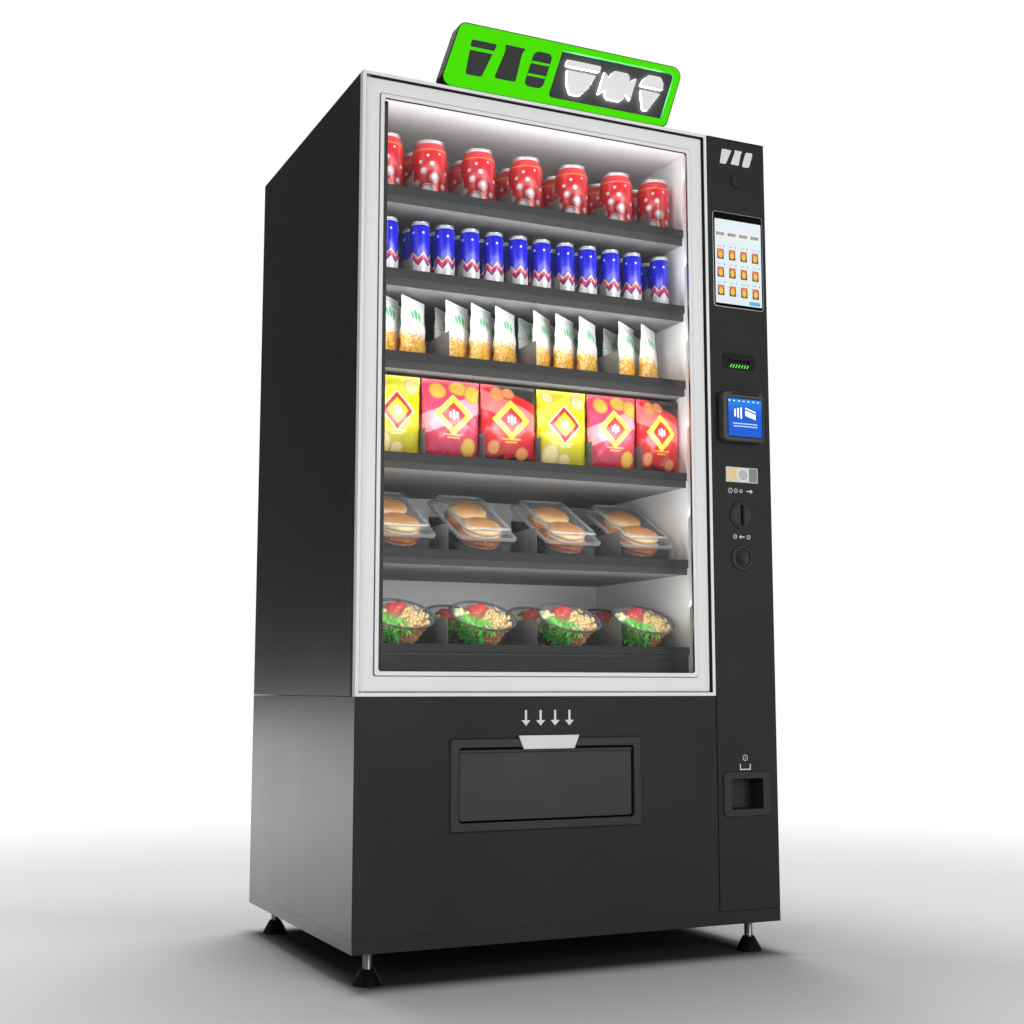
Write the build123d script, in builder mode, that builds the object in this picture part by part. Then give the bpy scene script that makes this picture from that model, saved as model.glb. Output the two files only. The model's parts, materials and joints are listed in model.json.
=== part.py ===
from build123d import *
from math import cos, radians, sin
from pathlib import Path

# Snack vending machine: glass-fronted cabinet, control column, delivery bin and roof sign.

Path("parts").mkdir(exist_ok=True)

# ---------------------------------------------------------------- driving dimensions, mm
# X runs to the machine's right, Y to its back, Z up from the floor.

cabinet_width = 1050
cabinet_depth = 807
foot_height = 71
plinth_height = 29.5
lower_height = 491          # plinth top to the seam under the glass door
upper_height = 1361         # seam to the roof
sheet = 2                   # side, rear and front sheet
roof_sheet = 3
shell_seam = 1              # shadow line between lower and upper panels
running_clearance = 0.05    # radial, pin in bore
joint_gap = 0.2             # between the sheets of one panel set
slide_clearance = 0.3       # between flat faces that slide
mount_gap = 1               # play of a module in its cut-out
pin_end_gap = 1             # hinge pin's end to the end of its bore

column_width = 165.5        # control column at the right
column_seam = 2
lock_height = 1746.5        # lock's axis above the plinth
latch_notch = (50, 12)      # room for the lock's cam in the partition, below and above its axis
surround_depth = 33         # frame around the glass door
surround_border = 7.5

side_insulation = 64
partition_core = 8
partition_skin = 2
partition_lap = 1.5         # partition's right face beyond the left section
rear_insulation = 60
back_wall = 10
bay_front = 46              # liner front, behind the front plane
duct_depth = 168            # room for the evaporator behind the bay's back wall
deck_height = 28            # top of the lower panel to the underside of the deck
deck_thickness = 25
bay_height = 1290
seal_flange = 3             # thickness of the strip that the door gasket meets
flange_cover = 28           # how far that strip stands into the bay

# derived places
half_width = cabinet_width / 2
reader_proud = 27
front_y = reader_proud - (cabinet_depth + reader_proud) / 2
back_y = front_y + cabinet_depth
plinth_top = foot_height + plinth_height
seam_z = plinth_top + lower_height
cabinet_top = seam_z + upper_height
pan_left = half_width - column_width
left_section_right = pan_left - column_seam
partition_right = left_section_right + partition_lap
bay_left = -half_width + sheet + side_insulation
bay_right = partition_right - partition_core - partition_skin
bay_front_y = front_y + bay_front
bay_back_y = back_y - sheet - rear_insulation - duct_depth - back_wall
deck_bottom = seam_z + deck_height
bay_floor = deck_bottom + deck_thickness
bay_ceiling = bay_floor + bay_height


def face_plane(y):
    """Plane that faces the customer, at the given Y."""
    return Plane.XZ.offset(-y)


def block(x, y, z, mode=Mode.ADD):
    """Box between two corners, each axis given as (low, high)."""
    with Locations(((x[0] + x[1]) / 2, (y[0] + y[1]) / 2, (z[0] + z[1]) / 2)):
        Box(x[1] - x[0], y[1] - y[0], z[1] - z[0], mode=mode)


def rod(radius, x, y, z, mode=Mode.ADD):
    """Round bar along the one axis that is given as (low, high)."""
    if isinstance(x, tuple):
        centre, length, turn = (sum(x) / 2, y, z), x[1] - x[0], (0, 90, 0)
    elif isinstance(y, tuple):
        centre, length, turn = (x, sum(y) / 2, z), y[1] - y[0], (90, 0, 0)
    else:
        centre, length, turn = (x, y, sum(z) / 2), z[1] - z[0], (0, 0, 0)
    with Locations(centre):
        Cylinder(radius, length, rotation=turn, mode=mode)


def save(piece, name):
    """Label a finished piece and write it to its own file."""
    piece.part.label = name
    export_step(piece.part, f"parts/{name}.step")


# ---------------------------------------------------------------- base and feet

foot_inset_side = 53
foot_inset_end = 55
pad_radius = 31
pad_rim = 4
pad_height = 33
stem_radius = 10
stem_engagement = 22
boss_radius = 22
boss_bore_depth = 24
plinth_wall = 3

control_hinge_inset = 12
control_hinge_x = half_width - control_hinge_inset
control_hinge_y = front_y + control_hinge_inset
control_pin_radius = 4

foot_points = [
    (side * (half_width - foot_inset_side), end)
    for side in (-1, 1)
    for end in (front_y + foot_inset_end, back_y - foot_inset_end)
]

with BuildPart() as base_plinth:
    block((-half_width, half_width), (front_y, back_y), (foot_height, plinth_top))
    block(
        (-half_width + plinth_wall, half_width - plinth_wall),
        (front_y + plinth_wall, back_y - plinth_wall),
        (foot_height, plinth_top - plinth_wall),
        mode=Mode.SUBTRACT,
    )
    for x, y in foot_points:
        rod(boss_radius, x, y, (foot_height, plinth_top - plinth_wall))
        bore_z = (foot_height, foot_height + boss_bore_depth)
        rod(stem_radius + running_clearance, x, y, bore_z, Mode.SUBTRACT)
    rod(
        control_pin_radius + running_clearance,
        control_hinge_x,
        control_hinge_y,
        (plinth_top - plinth_wall, plinth_top),
        Mode.SUBTRACT,
    )
save(base_plinth, "base_plinth")

with BuildPart() as foot:
    with BuildSketch(Plane.XZ):
        with BuildLine():
            Polyline(
                (0, 0),
                (pad_radius, 0),
                (pad_radius, pad_rim),
                (stem_radius, pad_height),
                (stem_radius, foot_height + stem_engagement),
                (0, foot_height + stem_engagement),
                close=True,
            )
        make_face()
    revolve(axis=Axis.Z)

with BuildPart() as leveling_feet:
    with Locations(*foot_points):
        add(foot.part)
save(leveling_feet, "leveling_feet")

# ---------------------------------------------------------------- outer panels

right_panel_setback = 2     # leaves room for the control door's corner to swing
right_panel_front = front_y + surround_depth + right_panel_setback
upper_low = seam_z + shell_seam
roof_underside = cabinet_top - roof_sheet
side_back = back_y - sheet - joint_gap

with BuildPart() as lower_shell:
    block((-half_width, -half_width + sheet), (front_y + sheet, back_y - sheet), (plinth_top, seam_z))
    block((half_width - sheet, half_width), (right_panel_front, back_y - sheet), (plinth_top, seam_z))
save(lower_shell, "lower_shell")

with BuildPart() as upper_shell:
    side_z = (upper_low, roof_underside - joint_gap)
    block((-half_width, -half_width + sheet), (front_y + surround_depth, side_back), side_z)
    block((half_width - sheet, half_width), (right_panel_front, side_back), side_z)
    block((-half_width, half_width), (back_y - sheet, back_y), side_z)
    block((-half_width, half_width), (front_y + surround_depth, back_y), (roof_underside, cabinet_top))
    block(
        (pan_left, half_width),
        (front_y, front_y + surround_depth - joint_gap),
        (roof_underside, cabinet_top),
    )
    rod(
        control_pin_radius + running_clearance,
        control_hinge_x,
        control_hinge_y,
        (roof_underside, cabinet_top),
        Mode.SUBTRACT,
    )
save(upper_shell, "upper_shell")

vent_slot_length = 220
vent_slot_height = 10
vent_pitch_x = 290
vent_pitch_z = 26

with BuildPart() as rear_grille:
    with BuildSketch(face_plane(back_y - sheet)):
        with Locations((0, (plinth_top + seam_z) / 2)):
            Rectangle(cabinet_width, lower_height)
            with GridLocations(vent_pitch_x, vent_pitch_z, 3, 12):
                SlotOverall(vent_slot_length, vent_slot_height, mode=Mode.SUBTRACT)
    extrude(amount=-sheet)
save(rear_grille, "rear_grille")

# ---------------------------------------------------------------- insulated bay

air_vent_width = 560
air_vent_height = 14
air_vent_lift = 60
seal_top = 17               # the strip over the opening
seal_below = 9              # the lower strip's reach past the deck's underside
seal_above = 11
fan_opening = 98
fan_height = 560            # fan's axis above the bay floor

seal_low = deck_bottom - seal_below
seal_high = deck_bottom + seal_above
bay_middle = (bay_left + bay_right) / 2
bay_fan_z = bay_floor + fan_height
liner_back = back_y - sheet
duct_back = liner_back - rear_insulation
partition_face = bay_right + partition_skin

with BuildPart() as liner:
    seal_y = (bay_front_y, bay_front_y + seal_flange)
    wall_y = (seal_y[1] + joint_gap, liner_back)
    wall_z = (bay_floor + joint_gap, bay_ceiling - joint_gap)
    inner_x = (bay_left + joint_gap, bay_right - joint_gap)
    block((-half_width + sheet, bay_left), (bay_front_y, liner_back), wall_z)
    block((bay_right, partition_face - joint_gap), (bay_front_y, liner_back), wall_z)
    core_x = (partition_face, partition_right)
    block(core_x, (bay_front_y, liner_back), (seam_z, roof_underside))
    lock_z = plinth_top + lock_height
    core_front = (front_y + surround_depth, bay_front_y - joint_gap)
    block(core_x, core_front, (seam_z, lock_z - latch_notch[0]))
    block(core_x, core_front, (lock_z + latch_notch[1], roof_underside))
    block(
        (-half_width + sheet, partition_face - joint_gap),
        (bay_front_y, liner_back),
        (bay_ceiling, roof_underside),
    )
    block(inner_x, (bay_back_y, bay_back_y + back_wall), wall_z)
    block(
        (bay_middle - air_vent_width / 2, bay_middle + air_vent_width / 2),
        (bay_back_y, bay_back_y + back_wall),
        (bay_floor + air_vent_lift, bay_floor + air_vent_lift + air_vent_height),
        mode=Mode.SUBTRACT,
    )
    rod(fan_opening, bay_middle, (bay_back_y, bay_back_y + back_wall), bay_fan_z, Mode.SUBTRACT)
    block(inner_x, (duct_back, liner_back), wall_z)
    block((bay_right - flange_cover, inner_x[1]), seal_y, (seal_high + joint_gap, wall_z[1]))
    block((inner_x[0], bay_right - flange_cover - joint_gap), seal_y, (bay_ceiling - seal_top, wall_z[1]))
    block(inner_x, seal_y, (seal_low, seal_high))
save(liner, "liner")

tray_front = 96             # price rail, behind the front plane
rail_step = 6               # the lower lip stands back from the price rail
lip_thickness = 2
lip_side_gap = 1            # price rail's end to the bay wall
fascia_height = 35.5        # closes the space under the lowest tray

deck_front_y = front_y + tray_front + rail_step
with BuildPart() as middle_deck:
    block(
        (-half_width + sheet, partition_face - joint_gap),
        (deck_front_y, back_y - sheet),
        (deck_bottom, bay_floor),
    )
    block(
        (bay_left + lip_side_gap, bay_right - lip_side_gap),
        (deck_front_y, deck_front_y + lip_thickness),
        (bay_floor + joint_gap, bay_floor + fascia_height),
    )
save(middle_deck, "middle_deck")

light_bar = 11

with BuildPart() as light_bars:
    bar_y = (bay_front_y + seal_flange + joint_gap, bay_front_y + seal_flange + light_bar)
    bar_z = (bay_floor + light_bar, bay_ceiling - 2 * light_bar)
    block((bay_left, bay_left + light_bar), bar_y, bar_z)
    block((bay_right - light_bar, bay_right), bar_y, bar_z)
    block(
        (bay_left + 2 * light_bar, bay_right - 2 * light_bar),
        bar_y,
        (bay_ceiling - light_bar, bay_ceiling),
    )
save(light_bars, "light_bars")

# ---------------------------------------------------------------- door surround

leaf_recess = 9
leaf_depth = 33
leaf_gap = 1
gasket_lining = 0.8
pin_relief = 2              # gasket cut away around the leaf's pins
leaf_hinge_inset = 12.5
leaf_hinge_setback = 6
leaf_pin_radius = 3
groove_width = 1.5
groove_depth = 1

surround_x = (-half_width, left_section_right)
surround_y = (front_y, front_y + surround_depth)
surround_z = (seam_z, cabinet_top)
opening_x = (surround_x[0] + surround_border, surround_x[1] - surround_border)
opening_z = (surround_z[0] + surround_border, surround_z[1] - surround_border)
leaf_margin = gasket_lining + leaf_gap
leaf_x = (opening_x[0] + leaf_margin, opening_x[1] - leaf_margin)
leaf_z = (opening_z[0] + leaf_margin, opening_z[1] - leaf_margin)
leaf_face_y = front_y + leaf_recess
leaf_back_y = leaf_face_y + leaf_depth
leaf_hinge_x = leaf_x[0] + leaf_hinge_inset
leaf_hinge_y = leaf_face_y + leaf_hinge_setback

with BuildPart() as door_surround:
    rail_x = (opening_x[0] + joint_gap, opening_x[1] - joint_gap)
    block((surround_x[0], opening_x[0]), surround_y, surround_z)
    block((opening_x[1], surround_x[1]), surround_y, surround_z)
    block(rail_x, surround_y, (surround_z[0], opening_z[0]))
    block(rail_x, surround_y, (opening_z[1], surround_z[1]))
    block(
        (surround_x[0], surround_x[0] + groove_depth),
        (front_y + surround_depth / 2, front_y + surround_depth / 2 + groove_width),
        surround_z,
        mode=Mode.SUBTRACT,
    )
    rod(leaf_pin_radius + running_clearance, leaf_hinge_x, leaf_hinge_y, surround_z, Mode.SUBTRACT)
save(door_surround, "door_surround")

with BuildPart() as surround_gasket:
    lining_y = (front_y + 1, front_y + surround_depth)
    lining_x = (opening_x[0] + gasket_lining, opening_x[1] - gasket_lining)
    strip_x = (lining_x[0] + joint_gap, lining_x[1] - joint_gap)
    block((opening_x[0], lining_x[0]), lining_y, opening_z)
    block((lining_x[1], opening_x[1]), lining_y, opening_z)
    block(strip_x, lining_y, (opening_z[0], opening_z[0] + gasket_lining))
    block(strip_x, lining_y, (opening_z[1] - gasket_lining, opening_z[1]))
    rod(leaf_pin_radius + pin_relief, leaf_hinge_x, leaf_hinge_y, opening_z, Mode.SUBTRACT)
save(surround_gasket, "surround_gasket")

# ---------------------------------------------------------------- glass door

leaf_face = 32
leaf_corner = 4
leaf_edge_round = 3
bead_width = 11
bead_setback = 1
bead_depth = 5
bead_corner = 6
bead_bevel = 2
glass_thickness = 5
glass_play = 0.5
gasket_inset = 14
gasket_width = 10
pin_engagement = 20

leaf_size = (leaf_x[1] - leaf_x[0], leaf_z[1] - leaf_z[0])
leaf_middle = ((leaf_x[0] + leaf_x[1]) / 2, (leaf_z[0] + leaf_z[1]) / 2)
bead_y = leaf_face_y + bead_setback


def leaf_ring(outer_inset, inner_inset, y, thickness, outer_radius, inner_radius):
    """Rectangular ring that follows the door leaf's outline."""
    with BuildSketch(face_plane(y)) as ring:
        with Locations(leaf_middle):
            RectangleRounded(leaf_size[0] - 2 * outer_inset, leaf_size[1] - 2 * outer_inset, outer_radius)
            RectangleRounded(
                leaf_size[0] - 2 * inner_inset,
                leaf_size[1] - 2 * inner_inset,
                inner_radius,
                mode=Mode.SUBTRACT,
            )
    extrude(ring.sketch, amount=-thickness)


with BuildPart() as door_frame:
    leaf_ring(0, leaf_face, leaf_face_y, leaf_depth, leaf_corner, bead_corner)
    front_ring = door_frame.faces().sort_by(Axis.Y)[0]
    fillet(front_ring.outer_wire().edges(), leaf_edge_round)
    rod(leaf_pin_radius + running_clearance, leaf_hinge_x, leaf_hinge_y, leaf_z, Mode.SUBTRACT)
save(door_frame, "door_frame")

with BuildPart() as glazing_bead:
    leaf_ring(leaf_face, leaf_face + bead_width, bead_y, bead_depth, bead_corner, bead_corner)
    bead_front = glazing_bead.faces().sort_by(Axis.Y)[0]
    chamfer(bead_front.inner_wires()[0].edges(), bead_bevel)
save(glazing_bead, "glazing_bead")

with BuildPart() as door_glass:
    with BuildSketch(face_plane(bead_y + bead_depth)):
        with Locations(leaf_middle):
            pane_inset = leaf_face + glass_play
            RectangleRounded(leaf_size[0] - 2 * pane_inset, leaf_size[1] - 2 * pane_inset, bead_corner)
    extrude(amount=-glass_thickness)
save(door_glass, "door_glass")

with BuildPart() as door_gasket:
    gasket_depth = bay_front_y - leaf_back_y - slide_clearance
    gasket_inner = gasket_inset + gasket_width
    leaf_ring(gasket_inset, gasket_inner, leaf_back_y, gasket_depth, leaf_corner, leaf_corner)
save(door_gasket, "door_gasket")

with BuildPart() as door_hinge_pins:
    for pin_z in (
        (surround_z[0] + pin_end_gap, leaf_z[0] + pin_engagement),
        (leaf_z[1] - pin_engagement, surround_z[1] - pin_end_gap),
    ):
        rod(leaf_pin_radius, leaf_hinge_x, leaf_hinge_y, pin_z)
save(door_hinge_pins, "door_hinge_pins")

# ---------------------------------------------------------------- delivery opening

bezel_width = 467
bezel_height = 198
bezel_offset = 4.25         # to the right of the lower panel's middle
bezel_lift = 303            # bezel's centre above the plinth
bezel_bar = 20
bezel_proud = 5
bezel_overlap = 6
bezel_depth = 16
bezel_corner = 8
bezel_bevel = 3
flap_gap = 4
flap_setback = 2
flap_thickness = 4
flap_corner = 6
flap_barrel = 4.5
flap_pin_radius = 3
flap_pin_seat = 10

bezel_x = (left_section_right - half_width) / 2 + bezel_offset
bezel_z = plinth_top + bezel_lift
flap_opening = (bezel_width - 2 * bezel_bar, bezel_height - 2 * bezel_bar)
flap_size = (flap_opening[0] - 2 * flap_gap, flap_opening[1] - 2 * flap_gap)
flap_x = (bezel_x - flap_size[0] / 2, bezel_x + flap_size[0] / 2)
flap_z = (bezel_z - flap_size[1] / 2, bezel_z + flap_size[1] / 2)
flap_hinge_y = front_y + flap_setback + flap_thickness / 2
flap_hinge_z = flap_z[1] - flap_barrel
neck_size = (bezel_width - 2 * bezel_overlap, bezel_height - 2 * bezel_overlap)


def rounded_plate(x, z, size, corner, y, thickness, mode=Mode.ADD):
    """Upright plate with rounded corners, from its front face at y."""
    with BuildSketch(face_plane(y)) as outline:
        with Locations((x, z)):
            RectangleRounded(*size, corner)
    extrude(outline.sketch, amount=-thickness, mode=mode)


with BuildPart() as delivery_bezel:
    bezel_size = (bezel_width, bezel_height)
    rounded_plate(bezel_x, bezel_z, bezel_size, bezel_corner, front_y - bezel_proud, bezel_proud)
    chamfer(delivery_bezel.faces().sort_by(Axis.Y)[0].edges(), bezel_bevel)
    rounded_plate(bezel_x, bezel_z, neck_size, bezel_corner, front_y, bezel_depth)
    rounded_plate(
        bezel_x,
        bezel_z,
        flap_opening,
        bezel_corner,
        front_y - bezel_proud,
        bezel_proud + bezel_depth,
        Mode.SUBTRACT,
    )
    pin_seat = flap_gap + flap_pin_seat
    rod(
        flap_pin_radius + running_clearance,
        (flap_x[0] - pin_seat, flap_x[1] + pin_seat),
        flap_hinge_y,
        flap_hinge_z,
        Mode.SUBTRACT,
    )
save(delivery_bezel, "delivery_bezel")

with BuildPart() as delivery_flap:
    flap_middle = bezel_z - flap_barrel / 2
    flap_plate = (flap_size[0], flap_size[1] - flap_barrel)
    flap_front = front_y + flap_setback
    rounded_plate(bezel_x, flap_middle, flap_plate, flap_corner, flap_front, flap_thickness)
    rod(flap_barrel, flap_x, flap_hinge_y, flap_hinge_z)
    pin_reach = flap_gap + flap_pin_seat - pin_end_gap
    rod(flap_pin_radius, (flap_x[0] - pin_reach, flap_x[1] + pin_reach), flap_hinge_y, flap_hinge_z)
save(delivery_flap, "delivery_flap")

tab_top_width = 148
tab_low_width = 124
tab_height = 29.5
tab_thickness = 3
tab_rise = 4.5              # above the bezel's upper edge
tab_bevel = 0.8

with BuildPart() as push_tab:
    tab_top = bezel_z + bezel_height / 2 + tab_rise
    with BuildSketch(face_plane(front_y - bezel_proud - tab_thickness)):
        with BuildLine():
            Polyline(
                (bezel_x - tab_top_width / 2, tab_top),
                (bezel_x + tab_top_width / 2, tab_top),
                (bezel_x + tab_low_width / 2, tab_top - tab_height),
                (bezel_x - tab_low_width / 2, tab_top - tab_height),
                close=True,
            )
        make_face()
    extrude(amount=-tab_thickness)
    chamfer(push_tab.faces().sort_by(Axis.Y)[0].edges(), tab_bevel)
save(push_tab, "push_tab")

panel_return = 31
with BuildPart() as lower_front_panel:
    block((-half_width, left_section_right), (front_y, front_y + sheet), (plinth_top, seam_z))
    return_y = (front_y + sheet + joint_gap, front_y + panel_return)
    block((-half_width + sheet, left_section_right), return_y, (seam_z - sheet, seam_z))
    block(
        (left_section_right - sheet, left_section_right),
        return_y,
        (plinth_top, seam_z - sheet - joint_gap),
    )
    window = (neck_size[0] + mount_gap, neck_size[1] + mount_gap)
    rounded_plate(bezel_x, bezel_z, window, bezel_corner, front_y, sheet, Mode.SUBTRACT)
save(lower_front_panel, "lower_front_panel")

bin_wall = 3
bin_step = 14               # bin floor below the opening's edge
bin_depth = 170
chute_guide = 2
guide_lift = 6
baffle_barrel = 4
baffle_thickness = 2
baffle_height = 110
baffle_inset = 10           # its axis ahead of the bin's back
baffle_drop = 19            # its axis below the deck
baffle_side_gap = 1

bin_x = (bay_left, bay_right)
bin_floor_z = bezel_z - flap_opening[1] / 2 - bin_step
bin_back_y = front_y + bin_depth
baffle_hinge_y = bin_back_y - baffle_inset
baffle_hinge_z = deck_bottom - baffle_drop

with BuildPart() as delivery_bin:
    bin_side_y = (bay_front_y, bin_back_y)
    bin_side_z = (bin_floor_z + joint_gap, seal_low)
    between_sides = (bin_x[0] + bin_wall + joint_gap, bin_x[1] - bin_wall - joint_gap)
    block(bin_x, (front_y + bezel_depth, bin_back_y), (bin_floor_z - bin_wall, bin_floor_z))
    block((bin_x[0], bin_x[0] + bin_wall), bin_side_y, bin_side_z)
    block((bin_x[1] - bin_wall, bin_x[1]), bin_side_y, bin_side_z)
    block(between_sides, (bin_back_y - bin_wall, bin_back_y), (bin_side_z[0], deck_bottom))
    block(
        between_sides,
        (bay_front_y, bay_front_y + chute_guide),
        (bezel_z + bezel_height / 2 + guide_lift, seal_low),
    )
    rod(flap_pin_radius + running_clearance, bin_x, baffle_hinge_y, baffle_hinge_z, Mode.SUBTRACT)
save(delivery_bin, "delivery_bin")

with BuildPart() as anti_theft_baffle:
    baffle_x = (
        bin_x[0] + bin_wall + baffle_side_gap,
        bin_x[1] - bin_wall - baffle_side_gap,
    )
    block(
        baffle_x,
        (baffle_hinge_y - baffle_thickness / 2, baffle_hinge_y + baffle_thickness / 2),
        (baffle_hinge_z - baffle_height, baffle_hinge_z),
    )
    rod(baffle_barrel, baffle_x, baffle_hinge_y, baffle_hinge_z)
    rod(
        flap_pin_radius,
        (bin_x[0] + slide_clearance, bin_x[1] - slide_clearance),
        baffle_hinge_y,
        baffle_hinge_z,
    )
save(anti_theft_baffle, "anti_theft_baffle")

# ---------------------------------------------------------------- trays and conveyors

tray_back_gap = 11          # tray's rear edge to the bay's back wall
pan_sheet = 1.5
pan_side_gap = 5.8
product_drop = 10           # conveyor top, below the top of the price rail
divider_sheet = 1.5
runner_width = 5
runner_height = 7
runner_lift = 1             # above the tray's underside
runner_front_gap = 2        # behind the lip
flange_play = 0.8           # tray flange to the bay wall
conveyor_side_gap = 2
conveyor_end_gap = 4


# one value for each tray, from the top one down
rail_levels = (1095, 902, 713, 484, 272, 62)    # price rail's top above the bay floor
lip_heights = (39, 39, 39, 36, 36, 26)
rail_heights = (20, 20, 20, 19, 19, 18)
divider_rises = (36, 36, 61, 61, 61, 59)        # above the price rail
can_lane_share = 0.15433                        # pitch of the inner lanes, of the bay's width
wide_lane_share = 0.2729
bag_lane_shares = (0.156, 0.1807, 0.1782, 0.1658, 0.1683)   # the last lane takes the rest

tray_y = (front_y + tray_front, bay_back_y - tray_back_gap)
lip_back = tray_y[0] + rail_step + lip_thickness
bay_width = bay_right - bay_left
pan_half = bay_width / 2 - pan_side_gap


def even_lanes(pitch, count):
    """Divider places behind the bay's left wall; the two end lanes share what is left."""
    first = (bay_width - (count - 2) * pitch) / 2
    return [first + index * pitch for index in range(count - 1)]


can_lane = can_lane_share * bay_width
wide_lane = wide_lane_share * bay_width
can_dividers = even_lanes(can_lane, 7)
wide_dividers = even_lanes(wide_lane, 4)
bag_dividers = [
    sum(bag_lane_shares[: index + 1]) * bay_width for index in range(len(bag_lane_shares))
]
divider_sets = (can_dividers, can_dividers, wide_dividers, bag_dividers, wide_dividers, wide_dividers)

tray_specs = [
    {"level": rail_level, "height": height, "rail": rail, "rise": rise, "dividers": dividers}
    for rail_level, height, rail, rise, dividers in zip(
        rail_levels, lip_heights, rail_heights, divider_rises, divider_sets
    )
]


def lane_edges(spec):
    """X of every lane boundary, from the left wall to the right wall."""
    return [bay_left, *(bay_left + place for place in spec["dividers"]), bay_right]


def lanes(spec):
    """Middle and width of every lane."""
    edges = lane_edges(spec)
    return [((low + high) / 2, high - low) for low, high in zip(edges, edges[1:])]


def rail_top(spec):
    return bay_floor + spec["level"]


def product_level(spec):
    return rail_top(spec) - product_drop


def mirrored(near, far):
    """The same X interval on the left and on the right of the bay's middle."""
    return [(bay_middle - far, bay_middle - near), (bay_middle + near, bay_middle + far)]


def shape_tray(spec):
    """Price rail and lip, floor, rear edge, side walls with slide flanges, and lane dividers."""
    top, bottom = rail_top(spec), rail_top(spec) - spec["height"]
    with BuildSketch(Plane.YZ.offset(bay_left + lip_side_gap)) as lip:
        with BuildLine():
            Polyline(
                (tray_y[0], top - spec["rail"]),
                (tray_y[0], top),
                (lip_back, top),
                (lip_back, bottom),
                (tray_y[0] + rail_step, bottom),
                (tray_y[0] + rail_step, top - spec["rail"]),
                close=True,
            )
        make_face()
    extrude(lip.sketch, amount=bay_width - 2 * lip_side_gap)
    floor_y = (lip_back + joint_gap, tray_y[1])
    wall_z = (bottom + pan_sheet + joint_gap, product_level(spec))
    rear_y = tray_y[1] - pan_sheet
    block((bay_middle - pan_half, bay_middle + pan_half), floor_y, (bottom, bottom + pan_sheet))
    wall_inside = pan_half - pan_sheet
    rear_half = wall_inside - joint_gap
    block((bay_middle - rear_half, bay_middle + rear_half), (rear_y, tray_y[1]), wall_z)
    for side in mirrored(wall_inside, pan_half):
        block(side, floor_y, wall_z)
    flange_z = bottom + runner_lift + runner_height + slide_clearance
    for side in mirrored(pan_half + joint_gap, pan_half + pan_side_gap - flange_play):
        block(side, floor_y, (flange_z, flange_z + lip_thickness))
    for x in lane_edges(spec)[1:-1]:
        block(
            (x - divider_sheet / 2, x + divider_sheet / 2),
            (floor_y[0], rear_y - joint_gap),
            (wall_z[0], top + spec["rise"]),
        )


with BuildPart() as tray_runners:
    for spec in tray_specs:
        runner_z = rail_top(spec) - spec["height"] + runner_lift
        for side in mirrored(pan_half + pan_side_gap - runner_width, pan_half + pan_side_gap):
            block(side, (lip_back + runner_front_gap, bay_back_y), (runner_z, runner_z + runner_height))
save(tray_runners, "tray_runners")

display_tilt = 28           # boxes and bowls lean towards the customer
tilt_cos = cos(radians(display_tilt))
tilt_sin = sin(radians(display_tilt))


def shape_conveyors(spec):
    """A closed conveyor in each lane: belt, bed and end rollers together."""
    floor = rail_top(spec) - spec["height"] + pan_sheet + slide_clearance
    thickness = product_level(spec) - floor
    belt_y = (lip_back + conveyor_end_gap, tray_y[1] - conveyor_end_gap)
    edges = lane_edges(spec)
    edges[0] += pan_side_gap + pan_sheet
    edges[-1] -= pan_side_gap + pan_sheet
    for low, high in zip(edges, edges[1:]):
        with BuildSketch(Plane.YZ.offset(low + conveyor_side_gap)) as loop:
            with Locations((sum(belt_y) / 2, floor + thickness / 2)):
                SlotOverall(belt_y[1] - belt_y[0], thickness)
        extrude(loop.sketch, amount=high - low - 2 * conveyor_side_gap)


def shape_cradle(x, y, z, width, length, toe):
    """Wedge on the conveyor that tilts a product forward."""
    with BuildSketch(Plane.YZ.offset(x - width / 2)) as wedge:
        with BuildLine():
            Polyline(
                (y, z + joint_gap),
                (y, z + toe),
                (y + length * tilt_cos, z + toe + length * tilt_sin),
                (y + length * tilt_cos, z + joint_gap),
                close=True,
            )
        make_face()
    extrude(wedge.sketch, amount=width)


# ---------------------------------------------------------------- goods

can_play = 10.25            # an end lane's width beyond its can
can_height = 145
can_neck = 8
can_shoulder = 16
can_setback = 25            # first can behind the price rail
can_row_gap = 6
slim_radius = 23.5
slim_height = 135
slim_neck = 3
slim_shoulder = 8
slim_lane_share = 0.4932    # spacing side by side, of the lane's pitch
slim_rows = (43, 103)
pouch_lane_share = 0.4626   # width, of the lane's pitch
pouch_spacing_share = 0.2812
pouch_row_share = 0.7255    # row pitch, of the pouch's width
pouch_thickness = 34
pouch_height = 150
pouch_turn = 40
pouch_shift = -6
pouch_setback = 66          # first row's axis behind the price rail
bag_height = 190
bag_thickness = 46
bag_side_play = 4
bag_rows = (38, 92)
seam_thickness = 3
box_play = 32.5             # an end lane's width beyond its box
box_length = 235
box_height = 60
box_toe = 4
box_place = 47              # lower front edge behind the price rail
box_taper = 14
box_corner = 14
box_bevel = 6
box_lid_share = 0.4
cradle_inset = 15           # a box overhangs its cradle at each side
bowl_cradle_width = 60
bowl_play = 25.5            # an end lane's width beyond its bowl
bowl_base_radius = 48
bowl_height = 66
bowl_toe = 1
bowl_rows = (47, 222)       # front of the base behind the price rail
bowl_rim = 5
bowl_rim_bevel = 2

can_radius = (can_dividers[0] - can_play) / 2
can_rows = (
    can_setback + can_radius,
    can_setback + 3 * can_radius + can_row_gap,
)
slim_spacing = slim_lane_share * can_lane
pouch_width = pouch_lane_share * wide_lane
pouch_spacing = pouch_spacing_share * wide_lane
pouch_rows = (pouch_setback, pouch_setback + pouch_row_share * pouch_width)
box_width = wide_dividers[0] - box_play
bowl_rim_radius = (wide_dividers[0] - bowl_play) / 2


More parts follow.
